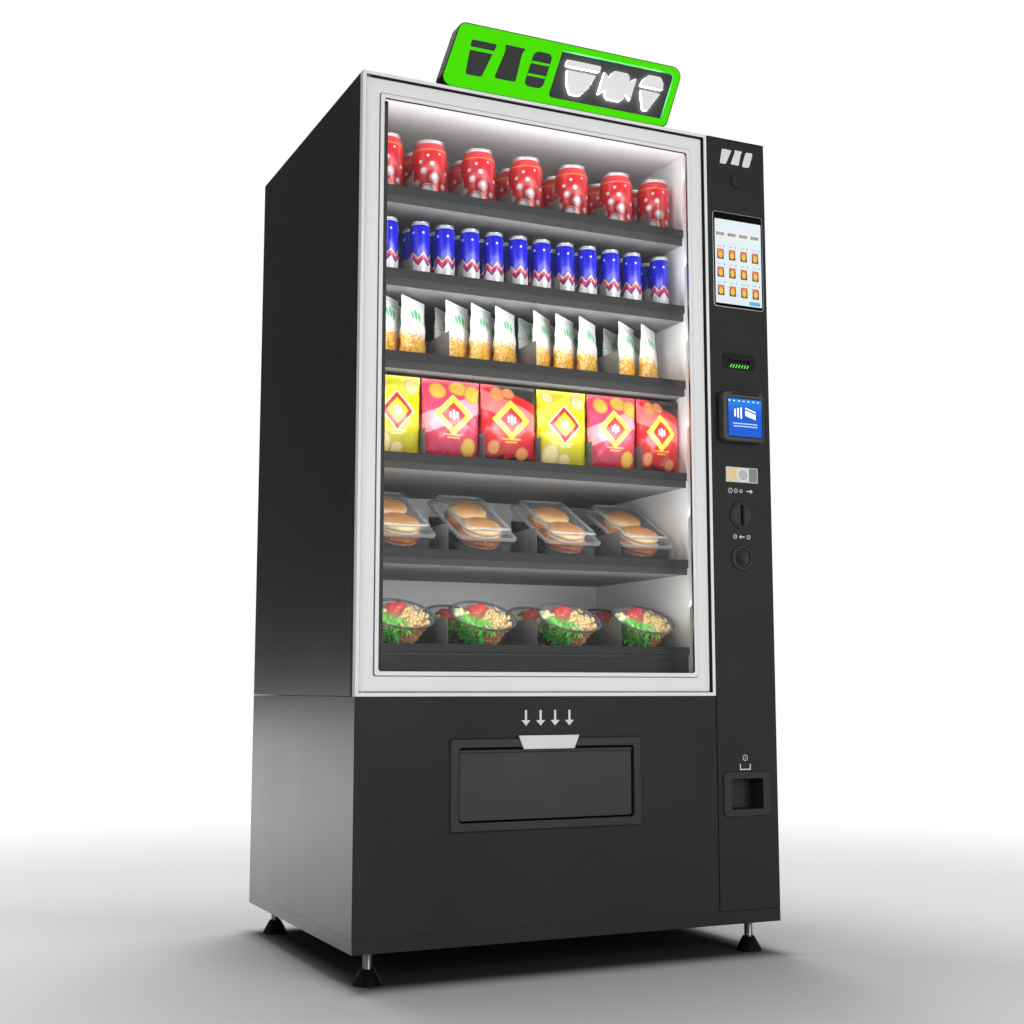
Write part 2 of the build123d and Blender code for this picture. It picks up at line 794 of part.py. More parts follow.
def shape_can(radius, height, neck, shoulder):
    """Drink can: straight wall, drawn-in neck and a stepped-in foot."""
    with BuildSketch(Plane.XZ) as half:
        with BuildLine():
            Polyline(
                (0, 0),
                (radius - neck, 0),
                (radius, neck),
                (radius, height - shoulder),
                (radius - neck, height - neck / 2),
                (radius - neck, height),
                (0, height),
                close=True,
            )
        make_face()
    revolve(half.sketch, axis=Axis.Z)


def shape_pouch(width, thickness, height):
    """Filled pouch: full low down, flat at its top seam."""
    seam_share = seam_thickness / thickness
    sections = []
    for share, level in ((0.6, 0), (1, 0.35), (0.85, 0.7), (seam_share, 1)):
        with BuildSketch(Plane.XY.offset(level * height)) as section:
            Ellipse(width / 2, thickness / 2 * share)
        sections.append(section.sketch)
    loft(sections, ruled=True)


with BuildPart() as can:
    shape_can(can_radius, can_height, can_neck, can_shoulder)

with BuildPart() as slim_can:
    shape_can(slim_radius, slim_height, slim_neck, slim_shoulder)

with BuildPart() as pouch:
    shape_pouch(pouch_width, pouch_thickness, pouch_height)

with BuildPart() as meal_box:
    base_size = (box_width - box_taper, box_length - box_taper)
    lid_level = box_height * (1 - box_lid_share)
    with BuildSketch(Plane.XY):
        with Locations((0, box_length / 2)):
            RectangleRounded(*base_size, box_corner)
    with BuildSketch(Plane.XY.offset(lid_level)):
        with Locations((0, box_length / 2)):
            RectangleRounded(box_width, box_length, box_corner)
    loft()
    with BuildSketch(Plane.XY.offset(lid_level)):
        with Locations((0, box_length / 2)):
            RectangleRounded(box_width, box_length, box_corner)
    extrude(amount=box_height - lid_level)
    chamfer(meal_box.faces().sort_by(Axis.Z)[-1].edges(), box_bevel)

with BuildPart() as bowl:
    with BuildSketch(Plane.XZ):
        with BuildLine():
            Polyline(
                (0, 0),
                (bowl_base_radius, 0),
                (bowl_rim_radius - bowl_rim, bowl_height - bowl_rim),
                (bowl_rim_radius, bowl_height - bowl_rim),
                (bowl_rim_radius, bowl_height - bowl_rim_bevel),
                (bowl_rim_radius - bowl_rim, bowl_height),
                (0, bowl_height),
                close=True,
            )
        make_face()
    revolve(axis=Axis.Z)


def spread(spec, end_count, inner_count, spacing, shift=0):
    """X of every product across a tray; the two end lanes may hold fewer side by side."""
    places = []
    for index, (middle, _) in enumerate(lanes(spec)):
        count = end_count if index in (0, len(spec["dividers"])) else inner_count
        places += [middle + shift + (step - (count - 1) / 2) * spacing for step in range(count)]
    return places


def stand(spec, columns, rows, turn=0):
    """Locations of upright products on a tray's conveyors."""
    level = product_level(spec)
    return [Location((x, tray_y[0] + row, level), (0, 0, turn)) for x in columns for row in rows]


def lean(x, y, level):
    """Location on a cradle's slope."""
    return Location((x, y, level), (display_tilt, 0, 0))


cans_tray, slims_tray, pouches_tray, bags_tray, boxes_tray, bowls_tray = tray_specs
can_places = stand(cans_tray, spread(cans_tray, 1, 1, 0), can_rows)
slim_places = stand(slims_tray, spread(slims_tray, 1, 2, slim_spacing), slim_rows)
pouch_columns = spread(pouches_tray, 2, 3, pouch_spacing, pouch_shift)
pouch_places = stand(pouches_tray, pouch_columns, pouch_rows, pouch_turn)
box_level = product_level(boxes_tray) + box_toe
box_places = [lean(x, tray_y[0] + box_place, box_level) for x, _ in lanes(boxes_tray)]
base_run, base_rise = bowl_base_radius * tilt_cos, bowl_base_radius * tilt_sin
bowl_level = product_level(bowls_tray) + bowl_toe + base_rise
bowl_places = [
    lean(x, tray_y[0] + row + base_run, bowl_level)
    for x, _ in lanes(bowls_tray)
    for row in bowl_rows
]

bags = []
for middle, width in lanes(bags_tray):
    with BuildPart() as bag:
        shape_pouch(width - bag_side_play, bag_thickness, bag_height)
    bags.append((bag.part, stand(bags_tray, [middle], bag_rows)))

stock = [
    [(can.part, can_places)],
    [(slim_can.part, slim_places)],
    [(pouch.part, pouch_places)],
    bags,
    [(meal_box.part, box_places)],
    [(bowl.part, bowl_places)],
]

for number, spec in enumerate(tray_specs, start=1):
    with BuildPart() as tray:
        shape_tray(spec)
    save(tray, f"tray_{number}")

    with BuildPart() as belts:
        shape_conveyors(spec)
        for x, _ in lanes(spec):
            if spec is boxes_tray:
                cradle = (box_width - 2 * cradle_inset, box_length, box_toe)
                shape_cradle(x, tray_y[0] + box_place, product_level(spec), *cradle)
            if spec is bowls_tray:
                cradle = (bowl_cradle_width, 2 * bowl_base_radius, bowl_toe)
                for row in bowl_rows:
                    shape_cradle(x, tray_y[0] + row, product_level(spec), *cradle)
    save(belts, f"belts_{number}")

    with BuildPart() as goods:
        for product, places in stock[number - 1]:
            with Locations(*places):
                add(product)
    save(goods, f"goods_{number}")

# ---------------------------------------------------------------- control door

pan_gap = 1
pan_return = 31
reader_size = (117, 121)
reader_rise = (-7.75, 1153)     # each module: offset from the column's middle, height above the plinth
reader_corner = 12
reader_behind = 40
reader_edge_round = 3
screen_size = (145, 238.5)
screen_rise = (1.25, 1544.5)
screen_corner = 9
screen_proud = 1.5
screen_behind = 30
note_size = (90, 36)
note_rise = (-3.25, 1292.5)
note_corner = 8
note_proud = 3
note_behind = 98
note_mouth = (62, 7)
note_recess = 8
note_bevel = 1
mouth_corner = 2
body_inset = 8              # a module's body inside its bezel's edge
guide_size = (91, 37)
guide_rise = (-0.75, 1016)
guide_proud = 1.5
guide_corner = 2
coin_rise = (-3.75, 918.5)
coin_bezel_radius = 33
coin_neck_radius = 27
coin_slot_width = 5
coin_slot_height = 50
coin_bezel_proud = 4
coin_neck_depth = 14
ring_bevel = 1.5            # front edges of the coin, change and coin return bezels
change_rise = (-4.75, 816.5)
change_bezel_radius = 30
change_neck_radius = 26
change_button_radius = 22.5
change_proud = 4
change_button_setback = 1
change_neck_depth = 16
button_length = 14
button_dish = 2
button_travel = 4
button_end_play = 0.5
return_size = (130.5, 102.5)
return_rise = (-4, 264.25)
return_corner = 12
return_proud = 4
return_opening = (88, 70)
return_opening_corner = 6
cup_wall = 2
cup_depth = 50
lock_rise = (0.25, lock_height)
lock_disc_radius = 17.5
lock_disc_proud = 3
lock_shaft_radius = 8
lock_sleeve_radius = 13
lock_sleeve_depth = 14
lock_cam_y = 36
lock_cam_thickness = 3
lock_cam_width = 16
lock_cam_length = 90

column_middle = (pan_left + half_width) / 2


def on_column(rise):
    """X and Z of a module's centre."""
    return column_middle + rise[0], plinth_top + rise[1]


reader_place = on_column(reader_rise)
screen_place = on_column(screen_rise)
note_place = on_column(note_rise)
guide_place = on_column(guide_rise)
coin_place = on_column(coin_rise)
change_place = on_column(change_rise)
return_place = on_column(return_rise)
lock_place = on_column(lock_rise)

pan_x = (pan_left, half_width)
pan_z = (plinth_top + pan_gap, roof_underside - pan_gap)
reader_body = (reader_size[0] - 2 * body_inset, reader_size[1] - 2 * body_inset)
screen_body = (screen_size[0] - 2 * body_inset, screen_size[1] - 2 * body_inset)
note_body = (note_size[0] - body_inset, note_size[1] - body_inset)
cup_size = (return_opening[0] + 2 * cup_wall, return_opening[1] + 2 * cup_wall)
window_corner = 3


def cut_window(place, size):
    """Rectangular cut-out in the pan's front for a module's body."""
    window_size = (size[0] + mount_gap, size[1] + mount_gap)
    rounded_plate(*place, window_size, window_corner, front_y, sheet, Mode.SUBTRACT)


with BuildPart() as control_door:
    block(pan_x, (front_y, front_y + sheet), pan_z)
    back_y_range = (front_y + sheet + joint_gap, front_y + sheet + pan_return)
    side_range = (pan_z[0] + sheet + joint_gap, pan_z[1] - sheet - joint_gap)
    block((pan_x[0], pan_x[0] + sheet), back_y_range, side_range)
    block((pan_x[1] - sheet, pan_x[1]), back_y_range, side_range)
    block(pan_x, back_y_range, (pan_z[0], pan_z[0] + sheet))
    block(pan_x, back_y_range, (pan_z[1] - sheet, pan_z[1]))
    for place, size in (
        (reader_place, reader_body),
        (screen_place, screen_body),
        (note_place, note_body),
        (return_place, cup_size),
    ):
        cut_window(place, size)
    for place, radius in ((coin_place, coin_neck_radius), (change_place, change_neck_radius)):
        rod(radius + mount_gap / 2, place[0], (front_y, front_y + sheet), place[1], Mode.SUBTRACT)
    rod(lock_sleeve_radius, lock_place[0], (front_y + sheet, front_y + lock_sleeve_depth), lock_place[1])
    rod(
        lock_shaft_radius + running_clearance,
        lock_place[0],
        (front_y, front_y + lock_sleeve_depth),
        lock_place[1],
        Mode.SUBTRACT,
    )
    pin_z = (plinth_top - plinth_wall + joint_gap, roof_underside + roof_sheet - joint_gap)
    rod(control_pin_radius, control_hinge_x, control_hinge_y, (pin_z[0], pan_z[0]))
    rod(control_pin_radius, control_hinge_x, control_hinge_y, (pan_z[1], pin_z[1]))
    for low, high in ((pan_z[0], pan_z[0] + sheet), (pan_z[1] - sheet, pan_z[1])):
        rod(control_pin_radius, control_hinge_x, control_hinge_y, (low, high))
save(control_door, "control_door")

with BuildPart() as touchscreen:
    rounded_plate(*screen_place, screen_size, screen_corner, front_y - screen_proud, screen_proud)
    rounded_plate(*screen_place, screen_body, window_corner, front_y, screen_behind)
save(touchscreen, "touchscreen")

with BuildPart() as note_acceptor:
    rounded_plate(*note_place, note_size, note_corner, front_y - note_proud, note_proud)
    chamfer(note_acceptor.faces().sort_by(Axis.Y)[0].edges(), note_bevel)
    rounded_plate(*note_place, note_body, window_corner, front_y, note_behind)
    rounded_plate(*note_place, note_mouth, mouth_corner, front_y - note_proud, note_recess, Mode.SUBTRACT)
save(note_acceptor, "note_acceptor")

with BuildPart() as card_reader:
    rounded_plate(*reader_place, reader_size, reader_corner, front_y - reader_proud, reader_proud)
    fillet(card_reader.faces().sort_by(Axis.Y)[0].edges(), reader_edge_round)
    rounded_plate(*reader_place, reader_body, window_corner, front_y, reader_behind)
save(card_reader, "card_reader")

with BuildPart() as coin_guide_plate:
    rounded_plate(*guide_place, guide_size, guide_corner, front_y - guide_proud, guide_proud)
save(coin_guide_plate, "coin_guide_plate")

with BuildPart() as coin_slot_bezel:
    rod(coin_bezel_radius, coin_place[0], (front_y - coin_bezel_proud, front_y), coin_place[1])
    chamfer(coin_slot_bezel.faces().sort_by(Axis.Y)[0].edges(), ring_bevel)
    rod(coin_neck_radius, coin_place[0], (front_y, front_y + coin_neck_depth), coin_place[1])
    block(
        (coin_place[0] - coin_slot_width / 2, coin_place[0] + coin_slot_width / 2),
        (front_y - coin_bezel_proud, front_y + coin_neck_depth),
        (coin_place[1] - coin_slot_height / 2, coin_place[1] + coin_slot_height / 2),
        mode=Mode.SUBTRACT,
    )
save(coin_slot_bezel, "coin_slot_bezel")

button_front = front_y - change_proud + change_button_setback

with BuildPart() as change_bezel:
    rod(change_bezel_radius, change_place[0], (front_y - change_proud, front_y), change_place[1])
    chamfer(change_bezel.faces().sort_by(Axis.Y)[0].edges(), ring_bevel)
    rod(change_neck_radius, change_place[0], (front_y, front_y + change_neck_depth), change_place[1])
    rod(
        change_button_radius + slide_clearance,
        change_place[0],
        (front_y - change_proud, button_front + button_length + button_travel + button_end_play),
        change_place[1],
        Mode.SUBTRACT,
    )
save(change_bezel, "change_bezel")

with BuildPart() as change_button:
    button_y = (button_front, button_front + button_length)
    rod(change_button_radius, change_place[0], button_y, change_place[1])
    dish_radius = (change_button_radius**2 + button_dish**2) / (2 * button_dish)
    with Locations((change_place[0], button_front - dish_radius + button_dish, change_place[1])):
        Sphere(dish_radius, mode=Mode.SUBTRACT)
save(change_button, "change_button")

with BuildPart() as coin_return_cup:
    rounded_plate(*return_place, return_size, return_corner, front_y - return_proud, return_proud)
    chamfer(coin_return_cup.faces().sort_by(Axis.Y)[0].edges(), ring_bevel)
    rounded_plate(*return_place, cup_size, window_corner, front_y, cup_depth)
    rounded_plate(
        *return_place,
        return_opening,
        return_opening_corner,
        front_y - return_proud,
        return_proud + cup_depth - cup_wall,
        Mode.SUBTRACT,
    )
save(coin_return_cup, "coin_return_cup")

with BuildPart() as lock_plug:
    lock_x, lock_z = lock_place
    cam_y = (front_y + lock_cam_y, front_y + lock_cam_y + lock_cam_thickness)
    rod(lock_disc_radius, lock_x, (front_y - lock_disc_proud, front_y), lock_z)
    rod(lock_shaft_radius, lock_x, (front_y, cam_y[1]), lock_z)
    block(
        (lock_x - lock_cam_width / 2, lock_x + lock_cam_width / 2),
        cam_y,
        (lock_z - lock_cam_length, lock_z),
    )
save(lock_plug, "lock_plug")

# ---------------------------------------------------------------- machinery

coin_box_size = (120, 140, 300)
coin_box_setback = 70
coin_box_drop = 20          # its top below the coin slot
control_box_size = (110, 200, 260)
control_box_setback = 260
control_box_lift = 60       # above the seam

with BuildPart() as coin_mechanism:
    coin_mech_z = coin_place[1] - coin_box_drop
    block(
        (partition_right, partition_right + coin_box_size[0]),
        (front_y + coin_box_setback, front_y + coin_box_setback + coin_box_size[1]),
        (coin_mech_z - coin_box_size[2], coin_mech_z),
    )
save(coin_mechanism, "coin_mechanism")

with BuildPart() as control_box:
    box_foot = seam_z + control_box_lift
    block(
        (partition_right, partition_right + control_box_size[0]),
        (front_y + control_box_setback, front_y + control_box_setback + control_box_size[1]),
        (box_foot, box_foot + control_box_size[2]),
    )
save(control_box, "control_box")

compressor_inset = (265, 357)   # its axis from the left side and from the back
compressor_radius = 85
compressor_height = 190
compressor_foot = 18
compressor_skirt = 5
compressor_dome = 30

with BuildPart() as compressor:
    compressor_x = -half_width + compressor_inset[0]
    compressor_y = back_y - compressor_inset[1]
    block(
        (compressor_x - compressor_radius, compressor_x + compressor_radius),
        (compressor_y - compressor_radius, compressor_y + compressor_radius),
        (plinth_top, plinth_top + compressor_foot),
    )
    rod(
        compressor_radius - compressor_skirt,
        compressor_x,
        compressor_y,
        (plinth_top + compressor_foot, plinth_top + compressor_foot + compressor_height),
    )
    dome_edge = compressor.faces().sort_by(Axis.Z)[-1].edges()
    fillet(dome_edge, compressor_dome)
save(compressor, "compressor")

fan_radius = 88
fan_hub = 24
fan_blade_depth = 6
fan_blade_width = 34
fan_blades = 4
fan_shaft_radius = 4
motor_radius = 34
motor_length = 44
blade_setback = 1           # blades inside the hub's two faces
motor_gap = 3
shaft_reach = 30
shaft_end_gap = 2
strut = 12


def shape_motor(x, z, front, back):
    """Fan motor with a blind shaft bore, held by a bar that reaches the wall behind it."""
    rod(motor_radius, x, (front, front + motor_length), z)
    rod(strut, x, (front + motor_length, back), z)
    rod(fan_shaft_radius + running_clearance, x, (front, front + shaft_reach), z, Mode.SUBTRACT)


def shape_fan(x, z, front):
    """Hub with flat blades and a shaft that runs back into the motor."""
    rod(fan_hub, x, (front, front + fan_blade_depth), z)
    for index in range(fan_blades):
        with Locations(Plane(origin=(x, front, z), x_dir=(1, 0, 0), z_dir=(0, -1, 0))):
            with PolarLocations(0, 1, start_angle=45 + index * 360 / fan_blades):
                with Locations((fan_radius / 2, 0, -fan_blade_depth / 2)):
                    Box(fan_radius, fan_blade_width, fan_blade_depth - 2 * blade_setback)
    shaft_start = front + fan_blade_depth
    shaft_end = shaft_start + motor_gap + shaft_reach - shaft_end_gap
    rod(fan_shaft_radius, x, (shaft_start, shaft_end), z)


evaporator_height = 330
evaporator_width = 620
evaporator_front_gap = 78   # to the bay's back wall
evaporator_lift = 100
bay_fan_inset = 2           # its front behind the bay's back wall face
bay_fan_front = bay_back_y + bay_fan_inset
bay_motor_front = bay_fan_front + fan_blade_depth + motor_gap

with BuildPart() as evaporator:
    block(
        (bay_middle - evaporator_width / 2, bay_middle + evaporator_width / 2),
        (bay_back_y + back_wall + evaporator_front_gap, duct_back),
        (bay_floor + evaporator_lift, bay_floor + evaporator_lift + evaporator_height),
    )
    shape_motor(bay_middle, bay_fan_z, bay_motor_front, duct_back)
save(evaporator, "evaporator")

with BuildPart() as evaporator_fan:
    shape_fan(bay_middle, bay_fan_z, bay_fan_front)
save(evaporator_fan, "evaporator_fan")

condenser_offset = 120      # to the right of the machine's middle
condenser_fan_lift = 200
condenser_size = (330, 60, 320)
condenser_back_gap = 60
condenser_fan_gap = 110     # room for the fan and its motor

condenser_x = condenser_offset
condenser_z = plinth_top + condenser_fan_lift
condenser_back = back_y - sheet - condenser_back_gap
condenser_fan_front = condenser_back - condenser_size[1] - condenser_fan_gap

with BuildPart() as condenser:
    block(
        (condenser_x - condenser_size[0] / 2, condenser_x + condenser_size[0] / 2),
        (condenser_back - condenser_size[1], condenser_back),
        (plinth_top, plinth_top + condenser_size[2]),
    )
    condenser_motor_front = condenser_fan_front + fan_blade_depth + motor_gap
    shape_motor(condenser_x, condenser_z, condenser_motor_front, condenser_back - condenser_size[1])
save(condenser, "condenser")

with BuildPart() as condenser_fan:
    shape_fan(condenser_x, condenser_z, condenser_fan_front)
save(condenser_fan, "condenser_fan")

# ---------------------------------------------------------------- roof sign

sign_inset = 179            # lower left corner, before rounding, from the machine's left side
sign_width = 591
sign_height = 160
sign_lean = 52              # the top edge stands this far to the right of the lower edge
sign_front = 2
sign_depth = 40
sign_rim = 2.5
sign_corner = 22
sign_face_depth = 10
inset_thickness = 2
inset_offset = 266          # along the lower edge
inset_width = 306
inset_height = 122
inset_low = 20
inset_corner = 8

sign_left = -half_width + sign_inset
sign_y = front_y + sign_front


def leaning_plate(x, z, width, height, corner, y, thickness, mode=Mode.ADD):
    """Plate with the sign's lean, from its lower left corner at x, z."""
    top_shift = sign_lean / sign_height * height
    with BuildSketch(face_plane(y)) as outline:
        with BuildLine():
            Polyline(
                (x, z),
                (x + width, z),
                (x + width + top_shift, z + height),
                (x + top_shift, z + height),
                close=True,
            )
        make_face()
        fillet(outline.vertices(), corner)
    extrude(outline.sketch, amount=-thickness, mode=mode)


inner_sign = (
    sign_left + sign_rim * (1 + sign_lean / sign_height),
    cabinet_top + sign_rim,
    sign_width - 2 * sign_rim,
    sign_height - 2 * sign_rim,
    sign_corner - sign_rim,
)
inset_outline = (
    sign_left + inset_offset + sign_lean / sign_height * inset_low,
    cabinet_top + inset_low,
    inset_width,
    inset_height,
    inset_corner,
)

with BuildPart() as sign_housing:
    leaning_plate(sign_left, cabinet_top, sign_width, sign_height, sign_corner, sign_y, sign_depth)
    leaning_plate(*inner_sign, sign_y, sign_face_depth, Mode.SUBTRACT)
save(sign_housing, "sign_housing")

with BuildPart() as sign_face:
    leaning_plate(*inner_sign, sign_y, sign_face_depth)
    leaning_plate(*inset_outline, sign_y, sign_face_depth, Mode.SUBTRACT)
save(sign_face, "sign_face")

with BuildPart() as sign_panel:
    leaning_plate(*inset_outline, sign_y + sign_face_depth - inset_thickness, inset_thickness)
save(sign_panel, "sign_inset")
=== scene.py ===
import json
import math
import random

import bmesh
import bpy
from mathutils import Matrix, Vector


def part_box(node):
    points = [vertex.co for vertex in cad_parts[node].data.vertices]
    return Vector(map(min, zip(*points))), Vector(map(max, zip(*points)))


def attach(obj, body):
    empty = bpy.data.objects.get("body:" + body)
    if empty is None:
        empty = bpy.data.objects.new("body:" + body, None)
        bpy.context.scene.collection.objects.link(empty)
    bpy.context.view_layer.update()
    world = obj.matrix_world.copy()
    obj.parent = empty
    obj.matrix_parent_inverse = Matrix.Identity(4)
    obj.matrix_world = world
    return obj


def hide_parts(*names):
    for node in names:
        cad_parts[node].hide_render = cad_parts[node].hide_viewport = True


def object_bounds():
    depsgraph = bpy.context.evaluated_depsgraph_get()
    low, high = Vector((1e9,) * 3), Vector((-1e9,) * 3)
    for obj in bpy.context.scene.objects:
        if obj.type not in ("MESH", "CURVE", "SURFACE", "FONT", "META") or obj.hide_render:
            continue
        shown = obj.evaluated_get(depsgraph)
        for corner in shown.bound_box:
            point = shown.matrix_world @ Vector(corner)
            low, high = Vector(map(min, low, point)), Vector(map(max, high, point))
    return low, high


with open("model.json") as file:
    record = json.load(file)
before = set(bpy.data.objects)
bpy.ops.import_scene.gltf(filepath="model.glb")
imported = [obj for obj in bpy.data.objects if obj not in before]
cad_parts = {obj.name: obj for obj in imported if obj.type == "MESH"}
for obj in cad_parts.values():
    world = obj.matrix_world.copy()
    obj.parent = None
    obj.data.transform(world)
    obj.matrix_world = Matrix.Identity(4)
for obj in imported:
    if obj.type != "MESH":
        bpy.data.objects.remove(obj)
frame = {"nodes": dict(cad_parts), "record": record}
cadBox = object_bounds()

random.seed(11)
nodes = frame["nodes"]
mm = 0.001
print("frame loaded:", len(nodes), "nodes")

# floor, lights and camera

stage = {
    "floorSize": 60.0,
    "floorColor": (0.82, 0.82, 0.82),
    "fadeStart": 1.3,       # metres from the machine's middle, where the floor begins to fade to white
    "fadeEnd": 3.6,
    "skyLight": 0.32,
    "skyGlow": 1.0,
    "skyGloss": 0.045,      # what polished panels mirror above the floor
    "shadeNear": 0.93,      # contact shadow: deepest under the machine
    "shadeWide": 0.24,
    "nearRange": (-0.07, 0.05),
    "wideRange": (-0.2, 0.95),
    "floorRoughness": 0.7,
    "floorSpecular": 0.1,
    "lens": 50.0,
    "cameraPlace": (-1.4839, -3.2168, 0.6065),
    "cameraTurn": (97.105, 0.0, -24.989),
}
lamps = [
    # name, place, size, watts, aimed at
    ("frontPanel", (1.6, -6.0, 1.9), 3.0, 190.0, (0.0, -0.4, 1.0)),
    ("leftPanel", (-4.8, -3.4, 2.4), 2.0, 34.0, (0.0, 0.0, 1.0)),
    ("topPanel", (0.2, 1.9, 5.0), 3.2, 190.0, (0.0, -0.3, 0.0)),
]


def selectNone():
    if bpy.context.mode != "OBJECT":
        bpy.ops.object.mode_set(mode="OBJECT")
    bpy.ops.object.select_all(action="DESELECT")


class shaderValue:
    # a number worked out by nodes; a sum with it adds one more maths node
    def __init__(self, socket):
        self.socket = socket

    def __add__(self, other):
        return maths("ADD", self, other)

    def __sub__(self, other):
        return maths("SUBTRACT", self, other)

    def __rsub__(self, other):
        return maths("SUBTRACT", other, self)

    def __mul__(self, other):
        return maths("MULTIPLY", self, other)

    def __rmul__(self, other):
        return maths("MULTIPLY", other, self)

    def __abs__(self):
        return maths("ABSOLUTE", self)


def bareSocket(value):
    return value.socket if isinstance(value, shaderValue) else value


def treeOf(*values):
    # the node tree that holds the first socket among the values
    sockets = [bareSocket(value) for value in values]
    return next(socket for socket in sockets if isinstance(socket, bpy.types.NodeSocket)).id_data


def feed(tree, target, value):
    value = bareSocket(value)
    if isinstance(value, bpy.types.NodeSocket):
        tree.links.new(value, target)
    else:
        target.default_value = value


def addNode(tree, kind, inputs=None, **settings):
    node = tree.nodes.new(kind)
    for key, value in settings.items():
        setattr(node, key, value)
    for key, value in (inputs or {}).items():
        feed(tree, node.inputs[key], value)
    return node


def maths(operation, *values, clamp=False):
    inputs = dict(enumerate(values))
    node = addNode(treeOf(*values), "ShaderNodeMath", inputs, operation=operation, use_clamp=clamp)
    return shaderValue(node.outputs[0])


def softStep(value, low, high):
    # 0 below low, 1 above high
    inputs = {0: value, 1: low, 2: high}
    step = addNode(treeOf(value), "ShaderNodeMapRange", inputs, interpolation_type="SMOOTHSTEP")
    return shaderValue(step.outputs[0])


def spread(value, low, high, inputs=None):
    # from low to high as the value goes from 0 to 1, or over the range given in inputs
    given = {0: value, 3: low, 4: high, **(inputs or {})}
    return shaderValue(addNode(treeOf(value), "ShaderNodeMapRange", given).outputs[0])


def layColor(base, mask, color):
    # the colour over the base where the mask is 1
    under, over = (rgba(part) if isinstance(part, tuple) else part for part in (base, color))
    mix = addNode(treeOf(mask), "ShaderNodeMix", {0: mask, 6: under, 7: over}, data_type="RGBA")
    return shaderValue(mix.outputs[2])


def rgba(color, share=1.0):
    return (*(part * share for part in color), 1)


def objectPlace(tree):
    return addNode(tree, "ShaderNodeTexCoord").outputs["Object"]


def objectNoise(tree, scale, detail=3.0, distortion=0.0, **more):
    given = {"Vector": objectPlace(tree), "Scale": scale, "Detail": detail, "Distortion": distortion, **more}
    return shaderValue(addNode(tree, "ShaderNodeTexNoise", given).outputs["Fac"])


def buildWorld():
    world = bpy.data.worlds.new("studioSky")
    bpy.context.scene.world = world
    world.use_nodes = True
    tree = world.node_tree
    tree.nodes.clear()
    path = addNode(tree, "ShaderNodeLightPath")
    seen = maths("MAXIMUM", path.outputs["Is Camera Ray"], path.outputs["Is Transmission Ray"])
    unseen = spread(path.outputs["Is Glossy Ray"], stage["skyLight"], stage["skyGloss"])
    strength = spread(seen, unseen, stage["skyGlow"])
    glow = addNode(tree, "ShaderNodeBackground", {"Color": (1, 1, 1, 1), "Strength": strength})
    addNode(tree, "ShaderNodeOutputWorld", {"Surface": glow.outputs[0]})


def buildFloor():
    selectNone()
    bpy.ops.mesh.primitive_plane_add(size=stage["floorSize"], location=(0, 0, 0))
    floor = bpy.context.object
    floor.name = "studioFloor"
    material = bpy.data.materials.new("studioPaper")
    material.use_nodes = True
    tree = material.node_tree
    shader = tree.nodes["Principled BSDF"]
    tint = spread(objectNoise(tree, 6.0), 0.985, 1.0)
    # the contact shadow deepens under the machine and thins out round it
    split = addNode(tree, "ShaderNodeSeparateXYZ", {0: objectPlace(tree)})
    low, high = cadBox
    sides = []
    for axis in (0, 1):
        middle, half = (low[axis] + high[axis]) / 2, (high[axis] - low[axis]) / 2
        sides.append(abs(shaderValue(split.outputs[axis]) - middle) - half)
    beyond = maths("MAXIMUM", *sides)
    near = (1.0 - softStep(beyond, *stage["nearRange"])) * stage["shadeNear"]
    wide = 1.0 - softStep(beyond, *stage["wideRange"])
    tone = tint * ((1.0 - near) * (1.0 - wide * stage["shadeWide"]))
    parts = {0: 1.0, 6: rgba(stage["floorColor"]), 7: tone}
    mix = addNode(tree, "ShaderNodeMix", parts, data_type="RGBA", blend_type="MULTIPLY")
    tree.links.new(mix.outputs[2], shader.inputs["Base Color"])
    shader.inputs["Roughness"].default_value = stage["floorRoughness"]
    shader.inputs["Specular IOR Level"].default_value = stage["floorSpecular"]
    # far from the machine the paper fades to a white glow
    away = addNode(tree, "ShaderNodeVectorMath", {0: objectPlace(tree)}, operation="LENGTH")
    fade = softStep(away.outputs["Value"], stage["fadeStart"], stage["fadeEnd"])
    path = addNode(tree, "ShaderNodeLightPath")
    seen = maths("MAXIMUM", path.outputs["Is Camera Ray"], path.outputs["Is Glossy Ray"])
    seen = maths("MAXIMUM", seen, path.outputs["Is Transmission Ray"])
    glow = addNode(tree, "ShaderNodeEmission", {"Color": (1, 1, 1, 1), "Strength": 1.0})
    blend = addNode(tree, "ShaderNodeMixShader", {0: fade * seen, 1: shader.outputs[0], 2: glow.outputs[0]})
    tree.links.new(blend.outputs[0], tree.nodes["Material Output"].inputs["Surface"])
    floor.data.materials.append(material)


def aimAt(thing, target):
    thing.rotation_euler = (Vector(target) - thing.location).to_track_quat("-Z", "Y").to_euler()


def buildLamps():
    for name, place, size, watts, target in lamps:
        light = bpy.data.lights.new(name, "AREA")
        light.shape = "SQUARE"
        light.size = size
        light.energy = watts
        lamp = bpy.data.objects.new(name, light)
        bpy.context.collection.objects.link(lamp)
        lamp.location = place
        aimAt(lamp, target)


bayLight = {
    "watts": 0.66, "height": 0.05, "sideGap": 0.03, "upwards": 0.9, "topShare": 0.62,
    "color": (0.985, 0.995, 1.0),
}


